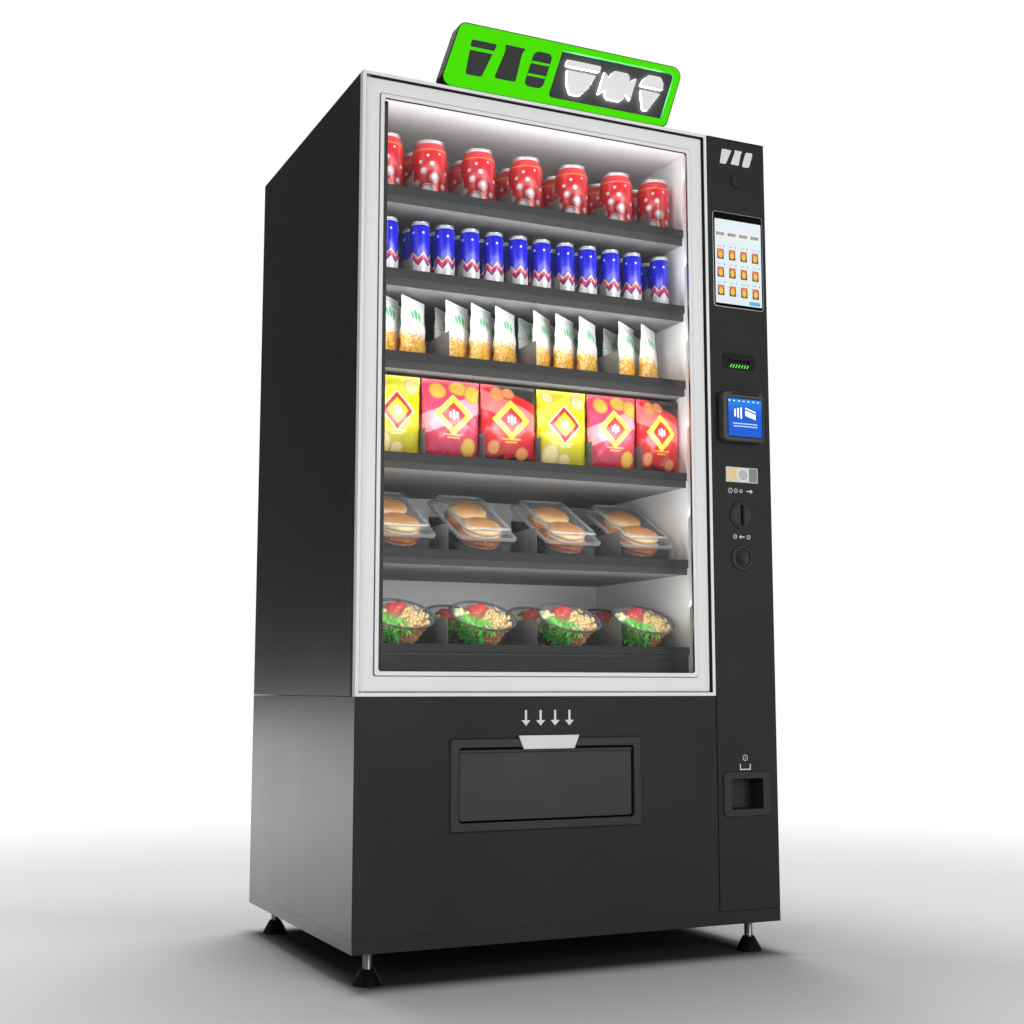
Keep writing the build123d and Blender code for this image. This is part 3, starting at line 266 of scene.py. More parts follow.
def buildBayLamps():
    # a strip behind the glass at the middle of each shelf space, shining inwards and up
    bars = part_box("light_bars")
    ceiling = bars[1].z
    for number in range(1, 7):
        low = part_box(f"goods_{number}")[0].z
        light = bpy.data.lights.new(f"bayStrip{number}", "AREA")
        light.shape = "RECTANGLE"
        light.size = bars[1].x - bars[0].x - 2 * bayLight["sideGap"]
        light.size_y = bayLight["height"]
        light.energy = bayLight["watts"] * (bayLight["topShare"] if number == 1 else 1.0)
        light.color = bayLight["color"]
        lamp = bpy.data.objects.new(f"bayStrip{number}", light)
        bpy.context.collection.objects.link(lamp)
        lamp.location = ((bars[0].x + bars[1].x) / 2, bars[0].y, (low + ceiling) / 2)
        aimAt(lamp, lamp.location + Vector((0, 1, bayLight["upwards"])))
        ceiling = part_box(f"tray_{number}")[0].z


def buildCamera():
    camera = bpy.data.cameras.new("viewCamera")
    camera.lens = stage["lens"]
    eye = bpy.data.objects.new("viewCamera", camera)
    bpy.context.collection.objects.link(eye)
    eye.location = stage["cameraPlace"]
    eye.rotation_euler = [math.radians(angle) for angle in stage["cameraTurn"]]
    bpy.context.scene.camera = eye


buildWorld()
buildFloor()
buildLamps()
buildBayLamps()
buildCamera()
bpy.context.scene.view_settings.view_transform = "Standard"
print("stage ready")

# shader groups that several finishes share


def newGroup(name, **inputs):
    # a value of one, three or four parts makes a number, a vector or a colour
    group = bpy.data.node_groups.new(name, "ShaderNodeTree")
    for label, value in inputs.items():
        kind = "Float" if isinstance(value, float) else "Vector" if len(value) == 3 else "Color"
        socket = group.interface.new_socket(name=label, in_out="INPUT", socket_type=f"NodeSocket{kind}")
        socket.default_value = value
    given = group.nodes.new("NodeGroupInput").outputs
    return group, *(shaderValue(given[label]) for label in inputs)


def closeGroup(group, **results):
    for label in results:
        kind = "Color" if label == "color" else "Float"
        group.interface.new_socket(name=label, in_out="OUTPUT", socket_type=f"NodeSocket{kind}")
    made = group.nodes.new("NodeGroupOutput")
    for label, value in results.items():
        feed(group, made.inputs[label], value)
    return group


def buildCoatGrain():
    # fine grain for the bump, broad smudges for the roughness
    group, scale, roughness, smudge = newGroup("coatGrain", grainScale=900.0, baseRoughness=0.4, smudge=0.08)
    swing = spread(objectNoise(group, 4.5, 4.0, Roughness=0.6), -1.0, 1.0, {1: 0.3, 2: 0.7})
    return closeGroup(group, height=objectNoise(group, scale, 2.0), roughness=roughness + swing * smudge)


def buildToneDrift():
    # a colour that wanders a little over the surface
    tones = {"color": (0.5, 0.5, 0.5, 1), "other": (0.4, 0.4, 0.4, 1)}
    group, color, other, scale, contrast = newGroup("toneDrift", **tones, scale=6.0, contrast=0.5)
    cloud = spread(objectNoise(group, scale, 4.0), 0.0, 1.0, {1: 0.35, 2: 0.65})
    return closeGroup(group, color=layColor(color, cloud * contrast, other))


def buildBrushedLines():
    # fine parallel lines along one axis
    numbers = {"scale": 60.0, "baseRoughness": 0.3, "unevenness": 0.15}
    group, stretch, scale, roughness, unevenness = newGroup(
        "brushedLines", stretch=(1.0, 1.0, 40.0), **numbers
    )
    pulled = addNode(
        group, "ShaderNodeVectorMath", {0: objectPlace(group), 1: stretch}, operation="MULTIPLY",
    )
    given = {"Vector": pulled.outputs[0], "Scale": scale, "Detail": 3.0}
    lines = shaderValue(addNode(group, "ShaderNodeTexNoise", given).outputs["Fac"])
    return closeGroup(group, height=lines, roughness=lines * unevenness + roughness)


def buildFilmCrinkle():
    # creases of printed film: sharp cells over soft folds
    group, scale, sharpness = newGroup("filmCrinkle", scale=40.0, sharpness=0.5)
    given = {"Vector": objectPlace(group), "Scale": scale}
    cells = addNode(group, "ShaderNodeTexVoronoi", given, feature="SMOOTH_F1")
    parts = {0: sharpness, 2: objectNoise(group, scale, 3.0, 0.6), 3: cells.outputs["Distance"]}
    return closeGroup(group, height=addNode(group, "ShaderNodeMix", parts, data_type="FLOAT").outputs[0])


def buildFoodSpeckle():
    # small spots of a second colour, raised a little
    tones = {"color": (0.5, 0.3, 0.1, 1), "speck": (0.8, 0.6, 0.3, 1)}
    group, color, speck, scale, cover = newGroup("foodSpeckle", **tones, scale=300.0, cover=0.3)
    spots = objectNoise(group, scale)
    low = 1.0 - cover
    mask = spread(spots, 0.0, 1.0, {1: low, 2: low + 0.15})
    return closeGroup(group, color=layColor(color, mask, speck), height=spots)


coatGrain = buildCoatGrain()
toneDrift = buildToneDrift()
brushedLines = buildBrushedLines()
filmCrinkle = buildFilmCrinkle()
foodSpeckle = buildFoodSpeckle()


def useGroup(tree, group, **inputs):
    return addNode(tree, "ShaderNodeGroup", inputs, node_tree=group).outputs


finishes = {}
socketNames = {
    "roughness": "Roughness",
    "metallic": "Metallic",
    "alpha": "Alpha",
    "ior": "IOR",
    "specular": "Specular IOR Level",
    "coat": "Coat Weight",
    "coatRoughness": "Coat Roughness",
    "glow": "Emission Strength",
    "subsurface": "Subsurface Weight",
}


def newMaterial(name, **sockets):
    material = bpy.data.materials.new(name)
    material.use_nodes = True
    tree = material.node_tree
    shader = tree.nodes["Principled BSDF"]
    for key, value in sockets.items():
        shader.inputs[socketNames[key]].default_value = value
    finishes[name] = material
    return tree, shader.inputs


def addBump(tree, inputs, height, strength, distance):
    bump = addNode(tree, "ShaderNodeBump", {"Strength": strength, "Distance": distance, "Height": height})
    feed(tree, inputs["Normal"], bump.outputs["Normal"])


def addGrain(tree, inputs, scale, roughness, smudge, bump=None, distance=0.0004):
    grain = useGroup(tree, coatGrain, grainScale=scale, baseRoughness=roughness, smudge=smudge)
    feed(tree, inputs["Roughness"], grain["roughness"])
    if bump:
        addBump(tree, inputs, grain["height"], bump, distance)


def addTone(tree, inputs, color, share, scale, contrast, targets=("Base Color",)):
    # the colour drifts towards a darker share of itself
    other = rgba(color, share)
    tone = useGroup(tree, toneDrift, color=rgba(color), other=other, scale=scale, contrast=contrast)
    for target in targets:
        feed(tree, inputs[target], tone["color"])


def coatMaterial(
    name, color, roughness=0.42, grainScale=900.0, bump=0.12, drift=0.25, smudge=0.06, **sockets
):
    # painted or moulded surface
    tree, inputs = newMaterial(name, **sockets)
    addGrain(tree, inputs, grainScale, roughness, smudge, bump)
    addTone(tree, inputs, color, 0.82, 3.0, drift)


def brushedMaterial(name, color, stretch, roughness=0.28, bump=0.1, **sockets):
    tree, inputs = newMaterial(name, **sockets)
    lines = useGroup(tree, brushedLines, stretch=stretch, baseRoughness=roughness)
    addTone(tree, inputs, color, 0.8, 20.0, 0.4)
    feed(tree, inputs["Roughness"], lines["roughness"])
    addBump(tree, inputs, lines["height"], bump, 0.0002)


def foodMaterial(name, color, speck, scale=300.0, cover=0.3, bump=0.4, distance=0.0015, roughness=0.5):
    tree, inputs = newMaterial(name, roughness=roughness)
    spots = useGroup(tree, foodSpeckle, color=rgba(color), speck=rgba(speck), scale=scale, cover=cover)
    feed(tree, inputs["Base Color"], spots["color"])
    addBump(tree, inputs, spots["height"], bump, distance)


def glowMaterial(name, color, strength, roughness=0.4, **sockets):
    # lit from behind: glows a little unevenly
    tree, inputs = newMaterial(name, roughness=roughness, glow=strength, **sockets)
    addTone(tree, inputs, color, 0.9, 12.0, 0.5, ("Base Color", "Emission Color"))


def clearMaterial(name, color, alpha, roughness=0.06, **sockets):
    # thin clear sheet: faint streaks in its gloss
    tree, inputs = newMaterial(name, alpha=alpha, ior=1.45, **sockets)
    inputs["Base Color"].default_value = rgba(color)
    addGrain(tree, inputs, 40.0, roughness, 0.03)


def readWrap(tree):
    # the piece's own map: across and up
    place = addNode(tree, "ShaderNodeUVMap", uv_map="wrap")
    split = addNode(tree, "ShaderNodeSeparateXYZ", {0: place.outputs[0]})
    return shaderValue(split.outputs[0]), shaderValue(split.outputs[1])


def printMaterial(name, paint, grain=(), targets=("Base Color",), **sockets):
    # the print comes from paint(tree, u, v)
    tree, inputs = newMaterial(name, **sockets)
    color = paint(tree, *readWrap(tree))
    for target in targets:
        feed(tree, inputs[target], color)
    if grain:
        addGrain(tree, inputs, *grain)
    return tree, inputs


coatMaterial("blackCoat", (0.0205, 0.0205, 0.021), roughness=0.56, specular=0.14)
coatMaterial(
    "sideGloss", (0.010, 0.010, 0.010), roughness=0.30, bump=0.04, drift=0.1, smudge=0.03, specular=0.5,
    coat=0.9, coatRoughness=0.22,
)
coatMaterial("flapCoat", (0.034, 0.034, 0.035), roughness=0.48, grainScale=700.0, specular=0.2)
coatMaterial("bezelCoat", (0.024, 0.024, 0.0245), roughness=0.44, grainScale=800.0, specular=0.2)
coatMaterial("silverFrame", (0.72, 0.72, 0.725), roughness=0.4, bump=0.04, drift=0.1, specular=0.3)
# dark grey of the price rails and the fascia; on the light bars' fronts and the glazing bead's inner sides it is
# painted shade
coatMaterial(
    "railGrey", (0.033, 0.033, 0.033), roughness=0.5, bump=0.02, drift=0.1, smudge=0.02, specular=0.12,
)
coatMaterial("trayGrey", (0.20, 0.20, 0.20), roughness=0.5, bump=0.02, drift=0.1, smudge=0.02, specular=0.2)
coatMaterial(
    "lipGrey", (0.050, 0.050, 0.050), roughness=0.5, bump=0.02, drift=0.1, smudge=0.02, specular=0.12,
)
coatMaterial("barGrey", (0.17, 0.17, 0.17), roughness=0.25, bump=0.02, drift=0.1, specular=0.5)
# grey of the glazing seal and the bead's outer sides; on the gasket's lower and left runs it is painted light
coatMaterial("grooveGrey", (0.34, 0.34, 0.34), roughness=0.5, bump=0.02, drift=0.1, specular=0.2)
brushedMaterial("trimPolish", (0.36, 0.36, 0.37), (1.0, 1.0, 0.02), roughness=0.14, metallic=1.0)
coatMaterial("linerWhite", (0.80, 0.80, 0.80), roughness=0.4, bump=0.05, drift=0.1, specular=0.3)
brushedMaterial("runnerZinc", (0.55, 0.56, 0.58), (1.0, 0.03, 1.0), metallic=1.0)
# black rubber of the gaskets; on the door leaf's upper and right sides it is painted shade
coatMaterial("sealRubber", (0.012, 0.012, 0.012), roughness=0.6, grainScale=500.0, bump=0.2, specular=0.2)
coatMaterial("beltRubber", (0.045, 0.045, 0.046), roughness=0.62, grainScale=600.0, bump=0.2, specular=0.25)
glowMaterial("lampGlow", (1.0, 0.985, 0.965), 4.0)
clearMaterial("doorGlass", (0.35, 0.38, 0.38), 0.02, roughness=0.02, specular=0.1)
coatMaterial("readerPlastic", (0.046, 0.046, 0.046), roughness=0.42, grainScale=800.0, specular=0.25)
coatMaterial("deepBlack", (0.004, 0.004, 0.004), roughness=0.3, bump=0.02, drift=0.1, specular=0.2)
coatMaterial("signHousing", (0.012, 0.013, 0.012), roughness=0.55, bump=0.02, specular=0.06)
glowMaterial("signGreen", (0.058, 0.62, 0.001), 0.25, roughness=0.6, specular=0.02)
coatMaterial("signDark", (0.036, 0.037, 0.037), roughness=0.6, grainScale=1500.0, specular=0.15)
# painted light: mint glow on the recess walls for the light of the marks
glowMaterial("signMint", (0.16, 0.72, 0.26), 0.15, specular=0.05)
glowMaterial("signWhite", (0.56, 0.56, 0.56), 0.40, specular=0.05)
glowMaterial("signEdge", (1.0, 1.0, 1.0), 9.0)
coatMaterial("tabWhite", (0.64, 0.64, 0.645), roughness=0.4, bump=0.03, specular=0.3)
coatMaterial("footBlack", (0.006, 0.006, 0.006), roughness=0.14, bump=0.01, coat=0.5)
brushedMaterial("stemSteel", (0.46, 0.46, 0.46), (1.0, 1.0, 0.08), roughness=0.25, metallic=1.0)
coatMaterial("machinePaint", (0.012, 0.012, 0.013), roughness=0.25, coat=0.4)
brushedMaterial("finAluminium", (0.60, 0.61, 0.62), (40.0, 1.0, 1.0), roughness=0.35, bump=0.5, metallic=1.0)
coatMaterial("fanBlack", (0.02, 0.02, 0.02), roughness=0.35, specular=0.3)
print("finishes ready:", len(finishes))


# modelling helpers


def selectOnly(piece):
    selectNone()
    piece.select_set(True)
    bpy.context.view_layer.objects.active = piece


def settle():
    # place, turn and scale go into the mesh
    bpy.ops.object.transform_apply(location=True, rotation=True, scale=True)


def editAll():
    bpy.ops.object.mode_set(mode="EDIT")
    bpy.ops.mesh.select_all(action="SELECT")


def leaveEdit():
    bpy.ops.object.mode_set(mode="OBJECT")


def closeSkin():
    # every normal outwards, then back to object mode
    bpy.ops.mesh.select_all(action="SELECT")
    bpy.ops.mesh.normals_make_consistent(inside=False)
    leaveEdit()


def cutFaces(piece, test):
    selectOnly(piece)
    editAll()
    bpy.ops.mesh.select_mode(type="FACE")
    bpy.ops.mesh.select_all(action="DESELECT")
    shape = bmesh.from_edit_mesh(piece.data)
    for face in shape.faces:
        if test(face.calc_center_median(), face.normal):
            face.select_set(True)
    bmesh.update_edit_mesh(piece.data)
    bpy.ops.mesh.delete(type="FACE")
    leaveEdit()


def weld(piece, dissolve=True):
    # in edit mode afterwards, with every face selected
    selectOnly(piece)
    editAll()
    bpy.ops.mesh.remove_doubles(threshold=0.00001)
    if dissolve:
        bpy.ops.mesh.dissolve_limited(angle_limit=math.radians(0.5))


def applyModifier(piece, modifier):
    selectOnly(piece)
    bpy.ops.object.modifier_apply(modifier=modifier.name)


def thicken(piece, thickness):
    wall = piece.modifiers.new("wall", "SOLIDIFY")
    wall.thickness = thickness
    applyModifier(piece, wall)


def roundEdges(piece, width):
    cut = piece.modifiers.new("roundEdges", "BEVEL")
    cut.width = width
    cut.segments = 2
    cut.limit_method = "ANGLE"
    cut.angle_limit = math.radians(40)
    applyModifier(piece, cut)


def turnShape(name, rings, centre=(0, 0, 0), facing="up", segments=32):
    # a disc at the first ring, drawn out ring by ring: (radius, distance along the axis)
    selectNone()
    centre = Vector(centre)
    axis = Vector((0, 0, 1)) if facing == "up" else Vector((0, -1, 0))
    turn = (0, 0, 0) if facing == "up" else (math.radians(90), 0, 0)
    radius, along = rings[0]
    bpy.ops.mesh.primitive_circle_add(
        vertices=segments, radius=radius, fill_type="NGON", location=centre + axis * along, rotation=turn
    )
    piece = bpy.context.object
    piece.name = name
    settle()
    editAll()
    for nextRadius, nextAlong in rings[1:]:
        bpy.ops.mesh.extrude_region_move(TRANSFORM_OT_translate={"value": axis * (nextAlong - along)})
        ratio = nextRadius / radius
        scale = (ratio, ratio, 1) if facing == "up" else (ratio, 1, ratio)
        bpy.ops.transform.resize(value=scale, center_override=centre + axis * nextAlong)
        radius, along = nextRadius, nextAlong
    closeSkin()
    return piece


def drawPlate(name, points, depth, holes=()):
    # outline in the front plane at y = 0, filled and thickened towards the back
    selectNone()
    outline = bpy.data.curves.new(name, "CURVE")
    outline.dimensions = "2D"
    outline.fill_mode = "BOTH"
    outline.extrude = depth / 2
    for ring in (points, *holes):
        spline = outline.splines.new("POLY")
        spline.points.add(len(ring) - 1)
        for point, (x, z) in zip(spline.points, ring):
            point.co = (x, z, 0, 1)
        spline.use_cyclic_u = True
    plate = bpy.data.objects.new(name, outline)
    bpy.context.collection.objects.link(plate)
    selectOnly(plate)
    bpy.ops.object.convert(target="MESH")
    plate = bpy.context.object
    plate.data.transform(Matrix.Translation((0, depth / 2, 0)) @ Matrix.Rotation(math.radians(90), 4, "X"))
    return plate


def roundedOutline(width, height, radius, steps=6, lean=0.0):
    corners = [(1, 1, 0), (-1, 1, 90), (-1, -1, 180), (1, -1, 270)]
    points = []
    for sideX, sideZ, start in corners:
        for step in range(steps + 1):
            angle = math.radians(start + 90 * step / steps)
            x = sideX * (width / 2 - radius) + radius * math.cos(angle)
            z = sideZ * (height / 2 - radius) + radius * math.sin(angle)
            points.append((x + z * lean, z))
    return points


def moveMesh(piece, place, turn=(0, 0, 0)):
    # place goes into the mesh; the object stays at the origin
    matrix = Matrix.Translation(place)
    for axis, angle in zip("ZYX", reversed(turn)):
        matrix = matrix @ Matrix.Rotation(math.radians(angle), 4, axis)
    piece.data.transform(matrix)
    piece.data.update()
    return piece


def copyMesh(piece, name, place=(0, 0, 0), turn=(0, 0, 0)):
    twin = bpy.data.objects.new(name, piece.data.copy())
    bpy.context.collection.objects.link(twin)
    return moveMesh(twin, place, turn)


def joinAll(name, parts):
    selectNone()
    for part in parts:
        part.select_set(True)
    bpy.context.view_layer.objects.active = parts[0]
    if len(parts) > 1:
        bpy.ops.object.join()
    whole = bpy.context.view_layer.objects.active
    whole.name = name
    return whole


def dropPiece(piece):
    bpy.data.objects.remove(piece)


def setFinish(piece, *names):
    piece.data.materials.clear()
    for name in names:
        piece.data.materials.append(finishes[name])
    return piece


def finishPiece(piece, body, slotName, replaced=(), angle=35.0, flat=False):
    selectOnly(piece)
    bpy.ops.object.shade_smooth_by_angle(angle=math.radians(angle))
    if flat:
        # wide faces keep their own normal; only the eased edges turn
        weigh = piece.modifiers.new("weigh", "WEIGHTED_NORMAL")
        weigh.keep_sharp = True
        weigh.weight = 100
        applyModifier(piece, weigh)
    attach(piece, body)
    if replaced:
        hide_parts(*replaced)
    return piece


behaviour, subparts = frame["record"]["behaviour"], frame["record"]["subparts"]
bodyOf = {node: body for body, names in behaviour["bodies"].items() for node in names}
slotOf = {part["node"]: part["material_slot"] for part in subparts}


def standFor(piece, node, **settings):
    return finishPiece(piece, bodyOf[node], slotOf[node], [node], **settings)


def nodeMiddle(name):
    low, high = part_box(name)
    return (low + high) / 2


def dressNode(name, finish):
    node = nodes[name]
    node.data.materials.clear()
    node.data.materials.append(finishes[finish])


# nodes that keep their own shape

dressing = {
    "doorGlass": ["door_glass"],
    "sealRubber": ["door_gasket"],
    "linerWhite": ["liner"],
    "runnerZinc": ["tray_runners", "door_hinge_pins"],
    "signDark": ["sign_inset"],
    "blackCoat": ["control_box"],
    "machinePaint": ["compressor"],
    "finAluminium": ["condenser", "evaporator"],
    "fanBlack": ["condenser_fan", "evaporator_fan", "coin_mechanism"],
    "beltRubber": [f"belts_{number}" for number in range(1, 7)],
}
for finish, names in dressing.items():
    for name in names:
        dressNode(name, finish)
print("nodes dressed")

# where products stand

middleX = (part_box("tray_1")[0].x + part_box("tray_1")[1].x) / 2
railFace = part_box("tray_1")[0].y
lanes = {
    "cans": [-357.9, -249.4, -124.7, 0.0, 124.7, 249.4, 357.9],
    "wide": [-312.25, -110.25, 110.25, 312.25],
    "bags": [
        (-341.0, 126.0), (-205.0, 146.0), (-60.0, 144.0), (79.0, 134.0), (214.0, 136.0), (343.0, 122.0),
    ],
}
tilt = 28.0  # display slope of meal boxes and bowls


def bandMask(value, middle, halfWidth, soft=0.008):
    # 1 inside a band around the middle
    away = abs(value - middle)
    return 1.0 - softStep(away, halfWidth, halfWidth + soft)


def spotMask(u, v, centre, radius, squash=1.0, soft=0.01):
    # 1 inside a round or oval spot
    across = u - centre[0]
    up = (v - centre[1]) * squash
    reach = maths("SQRT", across * across + up * up)
    return 1.0 - softStep(reach, radius, radius + soft)


def diamondMask(u, v, centre, radius, squash=1.0, soft=0.02):
    across = abs(u - centre[0])
    up = abs(v - centre[1])
    reach = across + up * squash
    return 1.0 - softStep(reach, radius, radius + soft)


def wrapRound(piece, height):
    # across runs once around the axis, with its middle at the front
    layer = piece.data.uv_layers.new(name="wrap")
    for face in piece.data.polygons:
        corners = [piece.data.vertices[index].co for index in face.vertices]
        turns = [(math.atan2(corner.x, -corner.y) / math.tau) + 0.5 for corner in corners]
        if max(turns) - min(turns) > 0.5:
            turns = [turn + 1.0 if turn < 0.5 else turn for turn in turns]
        for loop, turn, corner in zip(face.loop_indices, turns, corners):
            layer.data[loop].uv = (turn, corner.z / height)


def mapFront(piece, centre, size):
    # across and up over the front
    layer = piece.data.uv_layers.new(name="wrap")
    for face in piece.data.polygons:
        for loop, index in zip(face.loop_indices, face.vertices):
            corner = piece.data.vertices[index].co
            layer.data[loop].uv = (
                (corner.x - centre[0]) / size[0] + 0.5, (corner.z - centre[1]) / size[1] + 0.5,
            )


# printed finishes of the drinks

bubbles = [
    # across and up in one half of the wrap, and the radius
    (0.50, 0.14, 0.100), (0.27, 0.27, 0.058), (0.62, 0.36, 0.066), (0.42, 0.47, 0.046),
    (0.58, 0.59, 0.034), (0.36, 0.62, 0.026), (0.50, 0.72, 0.020), (0.80, 0.22, 0.040), (0.13, 0.12, 0.036),
    (0.88, 0.46, 0.024), (0.16, 0.50, 0.020), (0.72, 0.76, 0.015),
]


def paintRedCan(tree, u, v):
    # red with fine droplets, rising bubbles and a thin gold line
    side = maths("FRACT", u * 2.0 + 0.62)
    broad = softStep(v, 0.0, 0.9)
    color = layColor((0.36, 0.004, 0.008), broad, (0.52, 0.008, 0.016))
    for centreX, centreZ, radius in bubbles:
        disc = spotMask(side, v, (centreX, centreZ), radius, 1.13)
        shade = spotMask(
            side, v, (centreX - 0.25 * radius, centreZ + 0.3 * radius), radius * 0.55, 1.13, 0.03,
        )
        pale = layColor((0.34, 0.34, 0.36), shade, (0.62, 0.62, 0.64))
        color = layColor(color, disc, pale)
        ring = maths(
            "SUBTRACT", spotMask(side, v, (centreX, centreZ), radius * 1.32, 1.13), disc, clamp=True,
        )
        inner = spotMask(side, v, (centreX, centreZ), radius * 1.20, 1.13)
        color = layColor(color, maths("SUBTRACT", ring, inner, clamp=True), (0.62, 0.58, 0.58))
    color = layColor(color, bandMask(v, 0.822, 0.005, 0.002), (0.60, 0.28, 0.03))
    drops = softStep(objectNoise(tree, 950.0, 2.0), 0.62, 0.68)
    color = layColor(color, drops * 0.5, (0.66, 0.24, 0.26))
    return layColor(color, softStep(v, 0.945, 0.955), (0.70, 0.68, 0.68))


def zigzag(across, count, height):
    wave = maths("FRACT", across * float(count))
    return abs(wave - 0.5) * height


def paintBlueCan(tree, u, v):
    # blue over silver, parted by peaks with a red and a yellow line above them
    color = layColor((0.004, 0.004, 0.28), softStep(v, 0.1, 0.8), (0.006, 0.007, 0.40))
    level = v - zigzag(u, 6, 0.22)
    color = layColor(color, 1.0 - softStep(level, 0.21, 0.22), (0.82, 0.82, 0.82))
    color = layColor(color, bandMask(level, 0.275, 0.022, 0.006), (0.70, 0.010, 0.006))
    color = layColor(color, bandMask(level, 0.335, 0.010, 0.006), (0.80, 0.52, 0.02))
    stars = maths("FRACT", u * 6.0 + 0.5)
    color = layColor(color, diamondMask(stars, v, (0.5, 0.80), 0.12, 5.2), (0.50, 0.56, 0.75))
    color = layColor(color, bandMask(v, 0.045, 0.012, 0.004), (0.30, 0.31, 0.34))
    return layColor(color, softStep(v, 0.935, 0.945), (0.80, 0.80, 0.80))


canPrint = {"metallic": 0.12, "coat": 0.2, "coatRoughness": 0.1, "grain": (220.0, 0.24, 0.05, 0.03, 0.0003)}
printMaterial("redCanPrint", paintRedCan, **canPrint)
printMaterial("blueCanPrint", paintBlueCan, **canPrint)
brushedMaterial("canMetal", (0.72, 0.72, 0.73), (1.0, 1.0, 1.0), roughness=0.22, bump=0.02, metallic=0.9)

redCan = {
    "radius": 0.041, "height": 0.145, "rows": (0.066, 0.154), "columns": lanes["cans"],
    "rings": [(0.30, 0.062), (0.60, 0.010), (0.70, 0.000), (0.78, 0.006), (0.93, 0.045), (1.0, 0.085), (1.0, 0.80),
              (0.985, 0.835), (0.86, 0.935), (0.80, 0.960), (0.80, 0.975), (
                  0.835, 0.982,
              ), (0.835, 1.0), (0.795, 1.0),
              (0.785, 0.968), (0.70, 0.962), (0.20, 0.960)],
}
slimCan = {
    "radius": 0.0235, "height": 0.135, "rows": (0.043, 0.103), "spacing": 61.5, "columns": lanes["cans"],
    "rings": [(0.35, 0.050), (0.66, 0.010), (0.76, 0.000), (0.84, 0.006), (0.96, 0.035), (1.0, 0.060), (1.0, 0.90),
              (0.985, 0.92), (0.90, 0.955), (0.865, 0.968), (
                  0.865, 0.975,
              ), (0.91, 0.981), (0.91, 1.0), (0.86, 1.0),
              (0.85, 0.970), (0.76, 0.965), (0.22, 0.963)],
}


def buildCan(name, spec, printName, segments=40):
    radius, height = spec["radius"], spec["height"]
    can = turnShape(
        name, [(ring * radius, rise * height) for ring, rise in spec["rings"]], segments=segments,
    )
    setFinish(can, printName, "canMetal")
    shoulder, foot = 0.955 * height, 0.02 * height
    for face in can.data.polygons:
        if face.center.z > shoulder or face.center.z < foot:
            face.material_index = 1
    wrapRound(can, height)
    # ring pull: a flat loop on the lid, with its rivet
    selectNone()
    lid = spec["rings"][-1][1] * height
    bpy.ops.mesh.primitive_torus_add(
        major_radius=0.30 * radius, minor_radius=0.055 * radius, major_segments=16, minor_segments=6,
        location=(0, -0.22 * radius, lid + 0.0012),
    )
    pull = bpy.context.object
    pull.scale = (0.8, 1.25, 0.5)
    settle()
    rivet = turnShape(
        "rivet", [(0.14 * radius, lid), (0.12 * radius, lid + 0.001), (0.05 * radius, lid + 0.0014)],
        (0, 0.2 * radius, 0), segments=12,
    )
    setFinish(pull, "canMetal")
    setFinish(rivet, "canMetal")
    return joinAll(name, [can, pull, rivet])


def spreadCans(can, name, level, spec, turnBy, perLane):
    copies = []
    for lane, across in enumerate(spec["columns"]):
        count = 1 if lane in (0, len(spec["columns"]) - 1) else perLane
        for step in range(count):
            x = middleX + (across + (step - (count - 1) / 2) * spec.get("spacing", 0.0)) * mm
            for row in spec["rows"]:
                copies.append(
                    copyMesh(can, name, (x, railFace + row, level), (0, 0, turnBy + random.uniform(-4, 4)))
                )
    dropPiece(can)
    return joinAll(name, copies)


redCans = spreadCans(
    buildCan("redCans", redCan, "redCanPrint"), "redCans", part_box("goods_1")[0].z, redCan, -8, 1,
)
standFor(redCans, "goods_1")
slimCans = spreadCans(
    buildCan("slimCans", slimCan, "blueCanPrint", 32), "slimCans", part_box("goods_2")[0].z, slimCan, -6, 2,
)
standFor(slimCans, "goods_2")
print("cans stocked")


# filled film packs: a thin upright slab, swollen by moving its vertices

def swellPack(name, width, height, depth, across, up, seal, toe, crimp, wrinkle):
    selectNone()
    bpy.ops.mesh.primitive_grid_add(
        x_subdivisions=across, y_subdivisions=up, size=1, location=(0, 0, height / 2),
        rotation=(math.radians(90), 0, 0),
    )
    pack = bpy.context.object
    pack.name = name
    pack.scale = (width, height, 1)
    settle()
    editAll()
    bpy.ops.mesh.extrude_region_move(TRANSFORM_OT_translate={"value": (0, 0.0012, 0)})
    closeSkin()
    phase = random.uniform(0, 6)
    for vertex in pack.data.vertices:
        side = -1.0 if vertex.co.y < 0.0006 else 1.0
        u = vertex.co.x / (width / 2)
        v = vertex.co.z / height
        lowSeal = seal if toe < 0.5 else 0.0
        rise = min(1.0, max(0.0, (v - lowSeal) / (1 - seal - lowSeal)))
        profile = math.sin(math.pi * min(1.0, rise * (1 - toe) + toe)) ** 0.62 if rise < 1.0 else 0.0
        if toe < 0.5 and rise <= 0.0:
            profile = 0.0
        bulge = max(0.0, 1.0 - abs(u) ** 2.6) ** 0.55
        half = depth / 2 * profile * bulge
        ripple = math.sin(9 * u + phase + 3 * v) * math.sin(7 * v * math.pi + phase)
        crease = ripple * wrinkle * profile * (0.3 + abs(u))
        ridge = 0.0
        if profile == 0.0:
            ridge = math.sin(v * height / 0.0014 * math.pi) * crimp
        vertex.co.y = side * (0.0006 + half) + ridge + crease * (1 if side < 0 else -1)
        pull = 1.0 - 0.035 * profile * (0.4 + 0.6 * math.sin(11 * v + phase) ** 2)
        vertex.co.x *= pull
    mapFront(pack, (0, height / 2), (width, height))
    return pack


def filmMaterial(name, paint, crinkleScale=38.0):
    tree, inputs = printMaterial(name, paint, (150.0, 0.28, 0.08), coat=0.2, coatRoughness=0.15)
    crinkle = useGroup(tree, filmCrinkle, scale=crinkleScale, sharpness=0.35)
    addBump(tree, inputs, crinkle["height"], 0.35, 0.002)


